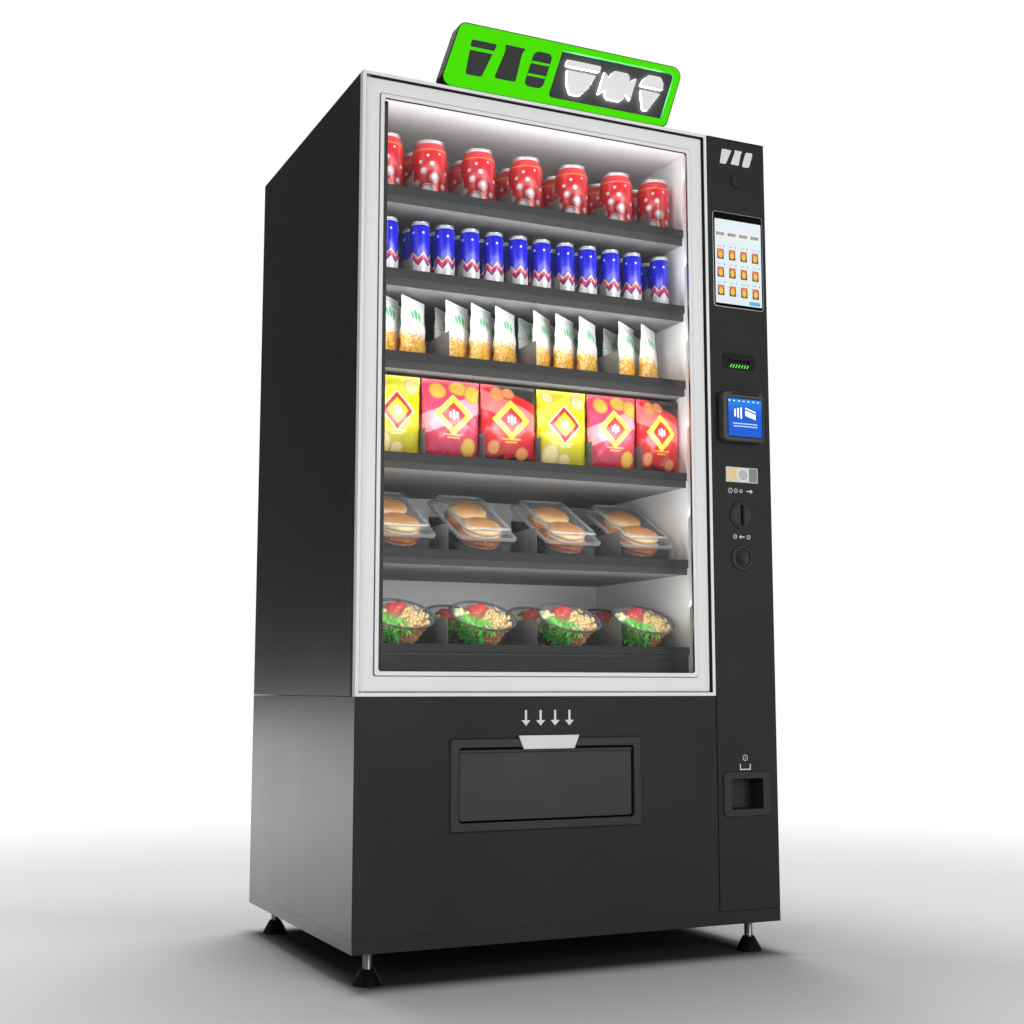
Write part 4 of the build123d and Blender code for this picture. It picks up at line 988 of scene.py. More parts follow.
def paintPouch(tree, u, v):
    # white film, golden flakes climbing from the foot, three green leaves
    color = layColor((0.94, 0.94, 0.93), bandMask(v, 0.962, 0.020), (0.80, 0.80, 0.79))
    speck = objectNoise(tree, 170.0, 2.0, 0.8)
    edge = v + (speck - 0.5) * 0.42
    gold = 1.0 - softStep(edge, 0.34, 0.50)
    color = layColor(color, gold, (0.80, 0.46, 0.045))
    warm = softStep(objectNoise(tree, 120.0, 3.0), 0.50, 0.56)
    color = layColor(color, gold * warm, (0.66, 0.25, 0.02))
    bright = softStep(objectNoise(tree, 210.0, 2.0, 0.4), 0.58, 0.62)
    color = layColor(color, gold * bright, (0.96, 0.78, 0.30))
    for centreX, centreZ, size in ((0.34, 0.735, 0.050), (0.49, 0.755, 0.058), (0.64, 0.735, 0.050)):
        leaf = spotMask(u, v, (centreX, centreZ), size, 0.75)
        color = layColor(color, leaf, (0.02, 0.46, 0.13))
        vein = leaf * bandMask(u, centreX, 0.006, 0.004)
        color = layColor(color, vein, (0.60, 0.80, 0.62))
    return layColor(color, bandMask(v, 0.655, 0.006, 0.003), (0.55, 0.74, 0.55))


def paintBag(given):
    # diagonal sash, diamond badge and oval chips over a ground that darkens downwards as painted shade
    def paint(tree, u, v):
        # painted shade: the ground is about a fifth darker towards the foot
        color = layColor(
            tuple(part * 0.78 for part in given["ground"]), softStep(v, 0.05, 0.7), given["ground"],
        )
        slant = v + u * given["slant"]
        color = layColor(color, bandMask(slant, given["sashAt"], 0.12, 0.01), given["sash"])
        color = layColor(color, softStep(slant, given["topAt"], given["topAt"] + 0.02), given["top"])
        ragged = (objectNoise(tree, 60.0, 3.0, 0.4) - 0.5) * 0.24
        low = 1.0 - softStep(v + ragged, 0.10, 0.13)
        color = layColor(color, low, given["foot"])
        for centreX, centreZ, size, squash in given["chips"]:
            chip = spotMask(u, v, (centreX, centreZ), size, squash)
            rim = spotMask(u, v, (centreX, centreZ), size * 0.82, squash)
            ridge = maths("SINE", (u + v) * 150.0)
            crisp = layColor(
                given["chip"], softStep(ridge, -0.4, 0.8), tuple(part * 0.72 for part in given["chip"]),
            )
            color = layColor(color, chip, tuple(part * 0.60 for part in given["chip"]))
            color = layColor(color, rim, crisp)
        badge = (0.50, 0.565)
        for radius, tint in ((0.330, given["edge"]), (0.300, given["badge"]), (0.205, given["inner"])):
            color = layColor(color, diamondMask(u, v, badge, radius, 1.35), tint)
        for shift in (-0.055, 0.0, 0.055):
            bar = bandMask(u, badge[0] + shift, 0.014, 0.005) * bandMask(
                v, badge[1], 0.055 - abs(shift) * 0.4, 0.008,
            )
            color = layColor(color, bar, (0.95, 0.94, 0.92))
        for level, half in ((0.325, 0.17), (0.290, 0.10)):
            caption = bandMask(v, level, 0.008, 0.004) * bandMask(u, 0.5, half)
            dashes = softStep(maths("SINE", u * 170.0), -0.5, -0.1)
            color = layColor(color, caption * dashes, given["edge"])
        return color
    return paint


bagPrints = {
    "yellowBag": {
        "ground": (0.70, 0.63, 0.006), "slant": -0.35, "sashAt": 0.62, "sash": (0.80, 0.74, 0.06),
        "topAt": 2.0, "top": (0.92, 0.80, 0.05), "foot": (0.80, 0.55, 0.010), "edge": (0.95, 0.90, 0.55),
        "badge": (0.72, 0.020, 0.025), "inner": (0.86, 0.60, 0.02), "chip": (0.95, 0.80, 0.36),
        "chips": (
            (0.80, 0.87, 0.14, 1.5), (0.20, 0.90, 0.12, 1.7), (0.24, 0.17, 0.17, 1.2),
            (0.52, 0.13, 0.12, 1.6),
        ),
    },
    "pinkBag": {
        "ground": (0.74, 0.050, 0.120), "slant": -0.30, "sashAt": 0.44, "sash": (0.88, 0.30, 0.36),
        "topAt": 2.0, "top": (0.86, 0.50, 0.06), "foot": (0.50, 0.015, 0.050), "edge": (0.93, 0.72, 0.20),
        "badge": (0.93, 0.78, 0.06), "inner": (0.78, 0.030, 0.040), "chip": (0.90, 0.52, 0.08),
        "chips": (
            (0.25, 0.86, 0.14, 1.4), (0.62, 0.90, 0.17, 2.0), (0.86, 0.84, 0.15, 1.3),
            (0.78, 0.19, 0.13, 1.2),
        ),
    },
    "redBag": {
        "ground": (0.70, 0.016, 0.022), "slant": 0.30, "sashAt": 0.82, "sash": (0.86, 0.16, 0.16),
        "topAt": 1.06, "top": (0.030, 0.022, 0.022), "foot": (
            0.022, 0.018, 0.018,
        ), "edge": (0.93, 0.66, 0.05),
        "badge": (0.93, 0.78, 0.06), "inner": (0.70, 0.020, 0.025), "chip": (0.90, 0.34, 0.12),
        "chips": (
            (0.28, 0.88, 0.12, 1.3), (0.48, 0.90, 0.11, 1.6), (0.20, 0.22, 0.10, 1.2),
            (0.72, 0.16, 0.11, 1.5),
        ),
    },
}
filmMaterial("pouchFilm", paintPouch, crinkleScale=45.0)
for name, bagPrint in bagPrints.items():
    filmMaterial(name, paintBag(bagPrint))

pouchStock = {
    "width": 0.102, "height": 0.150, "depth": 0.034, "turn": 40.0, "rows": (
        0.066, 0.140,
    ), "spacing": 62.0, "shift": -6.0,
}
bagStock = {
    "height": 0.190, "depth": 0.046, "sidePlay": 4.0, "rows": (0.038, 0.092),
    "prints": ("yellowBag", "pinkBag", "redBag"),
}

pouchSeed = swellPack(
    "pouches", pouchStock["width"], pouchStock["height"], pouchStock["depth"], 16, 24, 0.085, 0.5,
    crimp=0.0005, wrinkle=0.0018,
)
setFinish(pouchSeed, "pouchFilm")
pouches = []
for lane, across in enumerate(lanes["wide"]):
    count = 2 if lane in (0, 3) else 3
    for step in range(count):
        x = middleX + (across + pouchStock["shift"] + (step - (count - 1) / 2) * pouchStock["spacing"]) * mm
        for row in pouchStock["rows"]:
            place = (x, railFace + row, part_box("goods_3")[0].z)
            turn = pouchStock["turn"] + random.uniform(-3, 3)
            pouches.append(copyMesh(pouchSeed, "pouches", place, (0, 0, turn)))
dropPiece(pouchSeed)
pouches = joinAll("pouches", pouches)
standFor(pouches, "goods_3", angle=50.0)

bags = []
for number, (across, laneWidth) in enumerate(lanes["bags"]):
    width = (laneWidth - bagStock["sidePlay"]) * mm
    for row in bagStock["rows"]:
        bag = swellPack(
            "bags", width, bagStock["height"], bagStock["depth"], 20, 30, 0.06, 0.0, crimp=0.0006,
            wrinkle=0.0024,
        )
        setFinish(bag, bagStock["prints"][number % 3])
        moveMesh(bag, (middleX + across * mm, railFace + row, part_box("goods_4")[0].z))
        bags.append(bag)
bags = joinAll("snackBags", bags)
standFor(bags, "goods_4", angle=50.0)
print("packs stocked")

# clamshell meals and salad bowls, built level and then leant on their cradles

def paintBun(tree, u, v):
    # pale at the waist, toasted towards the crown, with flour specks
    patch = (objectNoise(tree, 34.0, 4.0, 0.3) - 0.5) * 0.55
    toast = softStep(v + patch, 0.30, 1.05)
    color = layColor((0.92, 0.66, 0.30), toast, (0.66, 0.25, 0.045))
    return layColor(color, softStep(objectNoise(tree, 420.0, 2.0), 0.60, 0.68) * 0.35, (0.95, 0.80, 0.50))


tree, inputs = printMaterial(
    "bunCrust", paintBun, roughness=0.36, coat=0.25, coatRoughness=0.3, subsurface=0.05,
)
addBump(tree, inputs, objectNoise(tree, 260.0), 0.25, 0.0010)
foodMaterial("bunCrumb", (0.95, 0.82, 0.52), (0.84, 0.62, 0.28), scale=180.0, cover=0.45, bump=0.5)
foodMaterial(
    "friedPatty", (0.56, 0.165, 0.018), (0.82, 0.36, 0.05), scale=120.0, cover=0.46, bump=1.0, distance=0.003,
    roughness=0.34,
)
foodMaterial("leafGreen", (0.14, 0.68, 0.045), (0.36, 0.84, 0.14), scale=120.0, cover=0.5, roughness=0.35)
foodMaterial("darkLeaf", (0.025, 0.44, 0.018), (0.09, 0.66, 0.05), scale=120.0, cover=0.5, roughness=0.35)
foodMaterial(
    "tomatoRed", (0.78, 0.050, 0.055), (0.90, 0.22, 0.20), scale=70.0, cover=0.4, bump=0.1, roughness=0.22,
)
foodMaterial("paleGrain", (0.93, 0.74, 0.32), (0.80, 0.48, 0.14), scale=190.0, cover=0.42, bump=0.6)
foodMaterial("brownGrain", (0.56, 0.24, 0.045), (0.82, 0.46, 0.12), scale=170.0, cover=0.45, bump=0.6)
foodMaterial("paleCube", (0.90, 0.88, 0.55), (0.80, 0.74, 0.34), scale=120.0, cover=0.5)
clearMaterial("clearPack", (0.90, 0.92, 0.93), 0.05, roughness=0.06, specular=0.6)
clearMaterial("clearRim", (0.56, 0.57, 0.58), 0.40, roughness=0.10, specular=0.6, coat=0.5)
clearMaterial("bowlRim", (0.17, 0.17, 0.18), 0.45, roughness=0.10, specular=0.6, coat=0.5)

mealBox = {
    "width": 0.151, "length": 0.235, "height": 0.060, "toe": 0.004, "place": 0.047, "corner": 0.014,
    "taper": 0.014, "wall": 0.0012,
}
saladBowl = {
    "rim": 0.079, "base": 0.048, "height": 0.066, "toe": 0.001, "rows": (0.047, 0.222), "wall": 0.0012,
}


def leanPlace(x, y, z):
    return Matrix.Translation((x, y, z)) @ Matrix.Rotation(math.radians(tilt), 4, "X")


def squareShell(name, levels, corner, steps=5):
    # rings of a rounded rectangle, bridged upwards: (width, length, rise); open at both ends
    selectNone()
    bpy.ops.mesh.primitive_plane_add(size=1)
    shell = bpy.context.object
    shell.name = name
    width, length, rise = levels[0]
    shell.scale = (width, length, 1)
    shell.location.z = rise
    settle()
    editAll()
    bpy.ops.mesh.bevel(offset=corner, segments=steps, affect="VERTICES")
    bpy.ops.mesh.select_all(action="SELECT")
    for nextWidth, nextLength, nextRise in levels[1:]:
        bpy.ops.mesh.extrude_region_move(TRANSFORM_OT_translate={"value": (0, 0, nextRise - rise)})
        bpy.ops.transform.resize(
            value=(nextWidth / width, nextLength / length, 1), center_override=(0, 0, nextRise),
        )
        width, length, rise = nextWidth, nextLength, nextRise
    closeSkin()
    return shell


def buildClamshell():
    spec = mealBox
    low = (spec["width"] - spec["taper"], spec["length"] - spec["taper"])
    full = (spec["width"], spec["length"])
    brim = spec["height"] * 0.6
    wall = spec["wall"]
    levels = [
        (low[0] - 0.012, low[1] - 0.012, 0.0), (low[0], low[1], 0.004), (
            full[0] - 0.012, full[1] - 0.012, brim - 0.004,
        ),
        (full[0], full[1], brim - 0.003), (full[0], full[1], brim + 0.003), (
            full[0] - 0.014, full[1] - 0.014, brim + 0.004,
        ),
        (
            full[0] - 0.026, full[1] - 0.026, spec["height"] - 0.004,
        ), (full[0] - 0.034, full[1] - 0.034, spec["height"]),
        (full[0] - 0.050, full[1] - 0.050, spec["height"] - 0.002),
    ]
    shell = squareShell("clamshell", levels, spec["corner"])
    setFinish(shell, "clearPack", "clearRim")
    for face in shell.data.polygons:
        atBrim = abs(face.center.z - brim) < 0.0045
        atCrown = face.center.z > spec["height"] - 0.006 and abs(face.normal.z) < 0.98
        if atBrim or atCrown:
            face.material_index = 1
    thicken(shell, wall)
    return shell


def buildBun(name, radius, height, finish):
    # lower rim tucked in, domed crown
    rings = [
        (0.80, 0.0), (0.96, 0.10), (1.0, 0.30), (0.97, 0.50), (0.86, 0.72), (0.66, 0.88),
        (0.38, 0.97), (0.12, 1.0),
    ]
    bun = turnShape(name, [(ring * radius, rise * height) for ring, rise in rings], segments=28)
    wrapRound(bun, height)
    setFinish(bun, finish)
    return bun


def roughPatty(name, radius, height, finish, roughness):
    patty = turnShape(
        name,
        [
            (0.86 * radius, 0), (radius, 0.25 * height), (0.98 * radius, 0.7 * height),
            (0.84 * radius, height), (0.4 * radius, height),
        ],
        segments=30,
    )
    for vertex in patty.data.vertices:
        angle = math.atan2(vertex.co.y, vertex.co.x)
        swell = 1 + roughness * (
            math.sin(3 * angle + 1) + 0.6 * math.sin(7 * angle) + 0.4 * math.sin(13 * angle + 2)
        )
        vertex.co.x *= swell
        vertex.co.y *= swell
        vertex.co.z += roughness * height * math.sin(5 * angle)
    setFinish(patty, finish)
    return patty


burgerStack = [
    # what, from the bottom: maker, radius, height, finish, raggedness
    ("heel", 0.044, 0.0045, "bunCrumb", None),
    ("slices", 0.048, 0.0050, "tomatoRed", 0.030),
    ("patty", 0.0535, 0.0190, "friedPatty", 0.060),
    ("crumb", 0.046, 0.0055, "bunCrumb", None),
    ("crown", 0.0475, 0.0220, "bunCrust", None),
]


def buildBurger():
    parts = []
    rise = 0.0
    for name, radius, height, finish, ragged in burgerStack:
        if ragged is None:
            layer = buildBun(name, radius, height, finish)
        else:
            layer = roughPatty(name, radius, height, finish, ragged)
        parts.append(moveMesh(layer, (0, 0, rise)))
        rise += height * 0.97
    return joinAll("burger", parts)


def buildMeals():
    burger = buildBurger()
    shell = buildClamshell()
    meals = []
    for across in lanes["wide"]:
        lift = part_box("goods_5")[0].z
        place = leanPlace(middleX + across * mm, railFace + mealBox["place"], lift)
        case = copyMesh(shell, "mealBoxes", (0, mealBox["length"] / 2, 0))
        case.data.transform(place)
        meals.append(case)
        for along, turn in ((0.062, 12), (0.160, -20)):
            food = copyMesh(burger, "mealBoxes", (0.004, along, 0.003), (0, 0, turn + random.uniform(-8, 8)))
            food.data.transform(place)
            meals.append(food)
    dropPiece(burger)
    dropPiece(shell)
    return joinAll("mealBoxes", meals)


def scatterFood(name, seed, count, place, turn=360):
    # copies of one morsel within a wedge of the bowl's fill
    copies = []
    for morsel in range(count):
        copies.append(copyMesh(seed, name, place(), [random.uniform(-turn, turn) for axis in "xyz"]))
    dropPiece(seed)
    return copies


def buildLump(name, size, finish, detail=1):
    selectNone()
    bpy.ops.mesh.primitive_ico_sphere_add(subdivisions=detail, radius=size)
    lump = bpy.context.object
    lump.name = name
    lump.scale = (1, 0.8, 1)
    settle()
    for vertex in lump.data.vertices:
        vertex.co *= random.uniform(0.85, 1.12)
    setFinish(lump, finish)
    return lump


def buildLeaf(name, length, width, finish):
    selectNone()
    bpy.ops.mesh.primitive_grid_add(x_subdivisions=2, y_subdivisions=5, size=1)
    leaf = bpy.context.object
    leaf.name = name
    leaf.scale = (width, length, 1)
    settle()
    for vertex in leaf.data.vertices:
        share = vertex.co.y / length
        vertex.co.x *= max(0.12, math.cos(share * math.pi))
        vertex.co.z = 0.22 * length * math.cos(share * 4) + 0.3 * abs(vertex.co.x)
    thicken(leaf, 0.0005)
    setFinish(leaf, finish)
    return leaf


def buildBowl():
    spec = saladBowl
    rim, base, height = spec["rim"], spec["base"], spec["height"]
    brim = height - 0.005
    cup = turnShape(
        "cup",
        [
            (base - 0.006, 0.0), (base, 0.003), (rim - 0.006, brim - 0.003), (rim, brim - 0.002),
            (rim, brim + 0.001),
        ],
        segments=48,
    )
    cutFaces(cup, lambda centre, normal: centre.z > brim and abs(normal.z) > 0.9 and centre.xy.length < 0.01)
    lid = turnShape(
        "lid",
        [
            (rim, brim + 0.001), (rim - 0.003, brim + 0.0035), (rim - 0.009, brim + 0.002),
            (rim - 0.013, brim + 0.005), (rim - 0.030, brim + 0.005), (0.010, brim + 0.004),
        ],
        segments=48,
    )
    cutFaces(lid, lambda centre, normal: centre.z < brim + 0.0012 and centre.xy.length < 0.01)
    shell = joinAll("bowl", [cup, lid])
    setFinish(shell, "clearPack", "bowlRim")
    for face in shell.data.polygons:
        if face.center.z > brim - 0.003 and face.center.xy.length > rim - 0.006:
            face.material_index = 1
    thicken(shell, spec["wall"])

    def inWedge(low, high, near, far, bottom, top):
        # angles count from the front, turning to the left
        def pick():
            rise = random.uniform(bottom, top)
            limit = base + (rim - base) * rise / height - 0.0065
            angle = math.radians(random.uniform(low, high))
            reach = random.uniform(near, far) * limit
            return (-math.sin(angle) * reach, -math.cos(angle) * reach, rise)
        return pick

    fill = height - 0.009
    bedRings = [(base - 0.008, 0.003), (rim - 0.014, fill - 0.006), (0.02, fill - 0.001)]
    food = [setFinish(turnShape("bed", bedRings, segments=24), "brownGrain")]
    food += scatterFood(
        "greens", buildLeaf("leaf", 0.030, 0.009, "darkLeaf"), 84,
        inWedge(8, 100, 0.84, 1.0, 0.008, fill - 0.010), 60,
    )
    food += scatterFood(
        "greens", buildLeaf("leaf", 0.028, 0.009, "leafGreen"), 54,
        inWedge(0, 90, 0.40, 0.97, fill - 0.010, fill + 0.001), 40,
    )
    food += scatterFood(
        "grains", buildLump("grain", 0.0042, "brownGrain"), 120,
        inWedge(-100, 4, 0.90, 1.0, 0.006, fill - 0.008),
    )
    food += scatterFood(
        "grains", buildLump("grain", 0.0042, "paleGrain"), 150,
        inWedge(-145, 20, 0.05, 0.98, fill - 0.005, fill + 0.003),
    )
    food += scatterFood(
        "cubes", buildLump("cube", 0.0075, "paleCube"), 14,
        inWedge(85, 150, 0.5, 0.95, fill - 0.006, fill + 0.001),
    )
    food += scatterFood(
        "tomato", buildLump("tomato", 0.0125, "tomatoRed", 2), 8,
        inWedge(150, 225, 0.50, 0.84, fill - 0.006, fill - 0.001),
    )
    return joinAll("bowl", [shell, *food])


def buildSalads():
    seed = buildBowl()
    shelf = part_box("goods_6")[0].z
    copies = []
    lift = saladBowl["base"] * math.sin(math.radians(tilt))
    for across in lanes["wide"]:
        for row in saladBowl["rows"]:
            x = middleX + across * mm
            y = railFace + row + saladBowl["base"] * math.cos(math.radians(tilt))
            bowl = copyMesh(seed, "saladBowls", (0, 0, 0), (0, 0, random.uniform(-6, 6)))
            bowl.data.transform(leanPlace(x, y, shelf + lift))
            copies.append(bowl)
    dropPiece(seed)
    return joinAll("saladBowls", copies)


meals = buildMeals()
standFor(meals, "goods_5")
salads = buildSalads()
standFor(salads, "goods_6")
print("meals stocked")

# panels, doors, trays and modules: copies of the nodes with eased edges stand for them


def easeNode(node, name, finish, width, second=None, pick=None):
    piece = copyMesh(nodes[node], name)
    weld(piece)
    leaveEdit()
    if width:
        roundEdges(piece, width)
    setFinish(piece, finish, *(second or []))
    if pick:
        for face in piece.data.polygons:
            face.material_index = int(pick(face.center, face.normal))
    return standFor(piece, node, angle=50.0, flat=True)


surroundBack = (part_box("door_surround")[0].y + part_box("door_surround")[1].y) / 2
leafLow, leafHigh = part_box("door_frame")
leafMiddle = (leafLow + leafHigh) / 2


def gapShadeSides(centre, normal):
    # painted shade: the leaf's upper and hinge-free sides are black, where the gap round the door looks dark
    toward = leafMiddle - centre
    outward = normal.x * toward.x + normal.z * toward.z < 0.0
    return outward and abs(normal.y) < 0.3 and (normal.x > 0.3 or normal.z > 0.3)


def barFace(centre, normal):
    # lamps glow backwards; towards the glass the bars are painted dark as shade along the edge of the glass, all but
    # the bar by the column, which is a lighter grey
    if normal.y > 0.7:
        return 1
    # painted shade: every bar but the one by the column gets the dark grey
    return 2 if centre.x < leafHigh.x - 0.12 else 0


def isFlank(centre, normal):
    return abs(normal.x) > 0.7


def behindGroove(centre, normal):
    return centre.y > surroundBack and abs(normal.y) < 0.5


def railPart(centre, normal):
    # 0 = price rail, 2 = the lip that stands back under it, 1 = the tray behind both
    if centre.y > railFace + 8.2 * mm:
        return 1
    return 2 if centre.y > railFace + 3.0 * mm and normal.y < -0.7 else 0


def isFascia(centre, normal):
    return centre.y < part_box("middle_deck")[0].y + 3 * mm and centre.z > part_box("liner")[0].z


easedNodes = [
    # node, piece, finish, edge radius in mm, second finish and the faces that wear it
    ("base_plinth", "plinthTray", "blackCoat", 0.8, ["sideGloss"], isFlank),
    ("lower_shell", "lowerSides", "blackCoat", 0.5, ["sideGloss"], isFlank),
    ("upper_shell", "upperPanels", "blackCoat", 0.8, ["sideGloss"], isFlank),
    ("rear_grille", "rearGrille", "blackCoat", 0.4),
    ("lower_front_panel", "lowerFront", "blackCoat", 0.8),
    ("control_door", "columnDoor", "blackCoat", 0.8),
    ("delivery_bezel", "deliveryBezel", "bezelCoat", 1.4),
    ("delivery_flap", "deliveryFlap", "flapCoat", 1.2),
    ("anti_theft_baffle", "antiTheftBaffle", "flapCoat", 0.8),
    ("delivery_bin", "deliveryBin", "blackCoat", 0.5),
    ("door_surround", "doorSurround", "silverFrame", 0.9, ["blackCoat"], behindGroove),
    # the door leaf's black upper and right sides are painted shade
    ("door_frame", "doorLeafFrame", "silverFrame", 1.2, ["sealRubber"], gapShadeSides),
    ("middle_deck", "middleDeck", "linerWhite", 0.0, ["railGrey"], isFascia),
    ("push_tab", "pushTab", "tabWhite", 0.5),
    ("coin_return_cup", "coinReturnCup", "bezelCoat", 1.0),
    # the light bars' dark fronts are painted shade
    ("light_bars", "lightBars", "barGrey", 1.5, ["lampGlow", "railGrey"], barFace),
    ("sign_housing", "signHousing", "signHousing", 1.5),
]
for number in range(1, 7):
    easedNodes.append(
        (f"tray_{number}", f"tray{number}", "railGrey", 0.5, ["trayGrey", "lipGrey"], railPart)
    )
for node, name, finish, width, *more in easedNodes:
    easeNode(node, name, finish, width * mm, *more)
print("panels eased")


# flat fittings on the front are plates standing off a face plane, with y = front for the customer's side

def roundPlate(name, centre, size, radius, front, depth, finish, lean=0.0, edge=0.0):
    # centre and size across and up; front is the y that the customer sees
    plate = drawPlate(name, roundedOutline(size[0], size[1], radius, lean=lean), depth)
    moveMesh(plate, (centre[0], front, centre[1]))
    if edge:
        weldAndRound(plate, edge)
    return setFinish(plate, finish)


def weldAndRound(piece, width):
    weld(piece)
    closeSkin()
    roundEdges(piece, width)
    return piece


def easedCopy(node, name, width, finish):
    return setFinish(weldAndRound(copyMesh(nodes[node], name), width), finish)


def nodeFace(name):
    # middle across and up, size across and up, and the front face's y
    low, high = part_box(name)
    middle = (low + high) / 2
    return (middle.x, middle.z), (high.x - low.x, high.z - low.z), low.y


def flatRing(name, centre, outer, inner, front, depth, finish, segments=40):
    ring = [
        (math.cos(math.tau * step / segments), math.sin(math.tau * step / segments))
        for step in range(segments)
    ]
    plate = drawPlate(
        name, [(outer * x, outer * z) for x, z in ring], depth,
        [[(inner * x, inner * z) for x, z in reversed(ring)]],
    )
    moveMesh(plate, (centre[0], front, centre[1]))
    return setFinish(plate, finish)


# glazing bead: a raised strip round the glass, with a grey seal in the groove beside it

bead = {"groove": 2.4, "width": 11.0, "raised": 3.5, "depth": 8.5, "corner": 6.0, "sealSetback": 2.5}


def frameRing(name, centre, size, near, far, radius, front, depth, finish):
    # rectangular ring between two insets from an outline
    outer = roundedOutline(size[0] - 2 * near, size[1] - 2 * near, radius)
    inner = roundedOutline(size[0] - 2 * far, size[1] - 2 * far, radius)
    ring = drawPlate(name, outer, depth, [list(reversed(inner))])
    moveMesh(ring, (centre[0], front, centre[1]))
    return setFinish(ring, finish)


def buildGlazingBead():
    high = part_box("glazing_bead")[1]
    centre, size, _ = nodeFace("glazing_bead")
    width = bead["width"] * mm
    face = leafLow.y - bead["raised"] * mm
    strip = frameRing(
        "glazingBead", centre, size, bead["groove"] * mm, width, bead["corner"] * mm, face, bead["depth"] * mm,
        "silverFrame",
    )
    weldAndRound(strip, 0.0009)
    setFinish(strip, "silverFrame", "trimPolish", "grooveGrey", "railGrey")
    # painted shade: the bead's inner sides are dark grey, polished metal on the right; its outer sides are mid grey
    for polygon in strip.data.polygons:
        toward = leafMiddle - polygon.center
        if abs(polygon.normal.y) < 0.3:
            inwards = polygon.normal.x * toward.x + polygon.normal.z * toward.z > 0
            polygon.material_index = 1 if inwards and toward.x < -0.3 else 3 if inwards else 2
    seal = frameRing(
        "seal", centre, size, 0.0, bead["groove"] * mm + 0.001, bead["corner"] * mm,
        leafLow.y + bead["sealSetback"] * mm, high.y - leafLow.y - bead["sealSetback"] * mm, "grooveGrey",
    )
    return joinAll("glazingBead", [strip, seal])


standFor(buildGlazingBead(), "glazing_bead", flat=True)


# gasket in the gap round the leaf: black rubber, painted pale along the foot and the hinge side as the light that
# falls into the gap there

gasketLine = {"paleReach": 20.0}


def buildGasketLine():
    piece = copyMesh(nodes["surround_gasket"], "surroundGasket")
    weld(piece, dissolve=False)
    leaveEdit()
    setFinish(piece, "sealRubber", "grooveGrey")
    reach = gasketLine["paleReach"] * mm
    for face in piece.data.polygons:
        # painted light: the lower and left runs are pale grey, the upper and right runs black
        face.material_index = int(face.center.z < leafLow.z + reach or face.center.x < leafLow.x + reach)
    return piece


standFor(buildGasketLine(), "surround_gasket", flat=True)


# touchscreen

screen = {"bezelSide": 5.5, "bezelTop": 19.0, "bezelFoot": 9.0, "rim": 1.6, "bodyInset": 8.0}


def paintScreen(tree, u, v):
    # pale page with a header, three rows of four packs and a button
    color = layColor((0.70, 0.78, 0.80), softStep(v, 0.0, 1.0), (0.72, 0.80, 0.83))
    column = maths("FRACT", u * 4.0)
    row = maths("FRACT", (v - 0.075) * 4.65)
    grid = softStep(v, 0.075, 0.077) * (1.0 - softStep(v, 0.715, 0.717))
    tile = bandMask(column, 0.46, 0.27, 0.02) * bandMask(row, 0.36, 0.27, 0.02) * grid
    color = layColor(color, tile, (0.16, 0.055, 0.050))
    top = tile * bandMask(row, 0.55, 0.07, 0.02)
    color = layColor(color, top, (0.72, 0.16, 0.09))
    heart = spotMask(column, row, (0.46, 0.33), 0.17, 1.0, 0.04)
    color = layColor(color, heart * grid, (0.85, 0.50, 0.06))
    price = bandMask(row, 0.80, 0.022, 0.01) * bandMask(column, 0.36, 0.16, 0.02) * grid
    color = layColor(color, price, (0.30, 0.58, 0.80))
    dot = spotMask(column, row, (0.78, 0.80), 0.045, 1.0, 0.02) * grid
    color = layColor(color, dot, (0.10, 0.42, 0.78))
    header = bandMask(v, 0.825, 0.016, 0.004) * bandMask(column, 0.45, 0.33, 0.02)
    color = layColor(color, header, (0.36, 0.31, 0.30))
    ends = header * softStep(abs(column - 0.45), 0.24, 0.26)
    color = layColor(color, ends, (0.55, 0.18, 0.08))
    button = bandMask(v, 0.035, 0.020, 0.006) * bandMask(u, 0.84, 0.115, 0.01)
    return layColor(color, button, (0.10, 0.45, 0.75))


def paintReader(tree, u, v):
    # blue page: a plain card, a pointing mark and two rows of dashes
    color = layColor((0.012, 0.085, 0.46), softStep(v, 0.55, 1.0), (0.020, 0.16, 0.55))
    tilted = v + u * 0.30
    card = bandMask(u, 0.66, 0.15, 0.01) * bandMask(tilted, 0.82, 0.105, 0.01)
    color = layColor(color, card, (0.85, 0.88, 0.92))
    strip = card * bandMask(tilted, 0.87, 0.018, 0.005)
    color = layColor(color, strip, (0.02, 0.12, 0.5))
    for shift, wide in ((0.20, 0.018), (0.29, 0.018), (0.38, 0.018)):
        bar = bandMask(u, shift, wide, 0.01) * bandMask(v, 0.62, 0.04 + shift * 0.28, 0.01)
        color = layColor(color, bar, (0.85, 0.88, 0.92))
    for level in (0.34, 0.27):
        row = bandMask(v, level, 0.012, 0.006) * bandMask(u, 0.5, 0.36, 0.01)
        dashes = softStep(maths("SINE", u * (70.0 + 200 * level)), -0.4, -0.1)
        color = layColor(color, row * dashes, (0.72, 0.78, 0.9))
    row = bandMask(v, 0.94, 0.012, 0.006) * softStep(maths("SINE", u * 44.0), 0.2, 0.4)
    return layColor(color, row, (0.6, 0.75, 0.9))


litPage = {"targets": ("Base Color", "Emission Color"), "roughness": 0.12}
printMaterial("screenPage", paintScreen, glow=0.12, **litPage)
printMaterial("readerPage", paintReader, glow=0.5, **litPage)
coatMaterial("screenBlack", (0.004, 0.004, 0.0042), roughness=0.08, bump=0.02, drift=0.4, smudge=0.03)
brushedMaterial("rimSilver", (0.42, 0.42, 0.43), (1.0, 1.0, 1.0), roughness=0.25, metallic=0.8)
glowMaterial("greenLed", (0.10, 0.85, 0.03), 0.8)


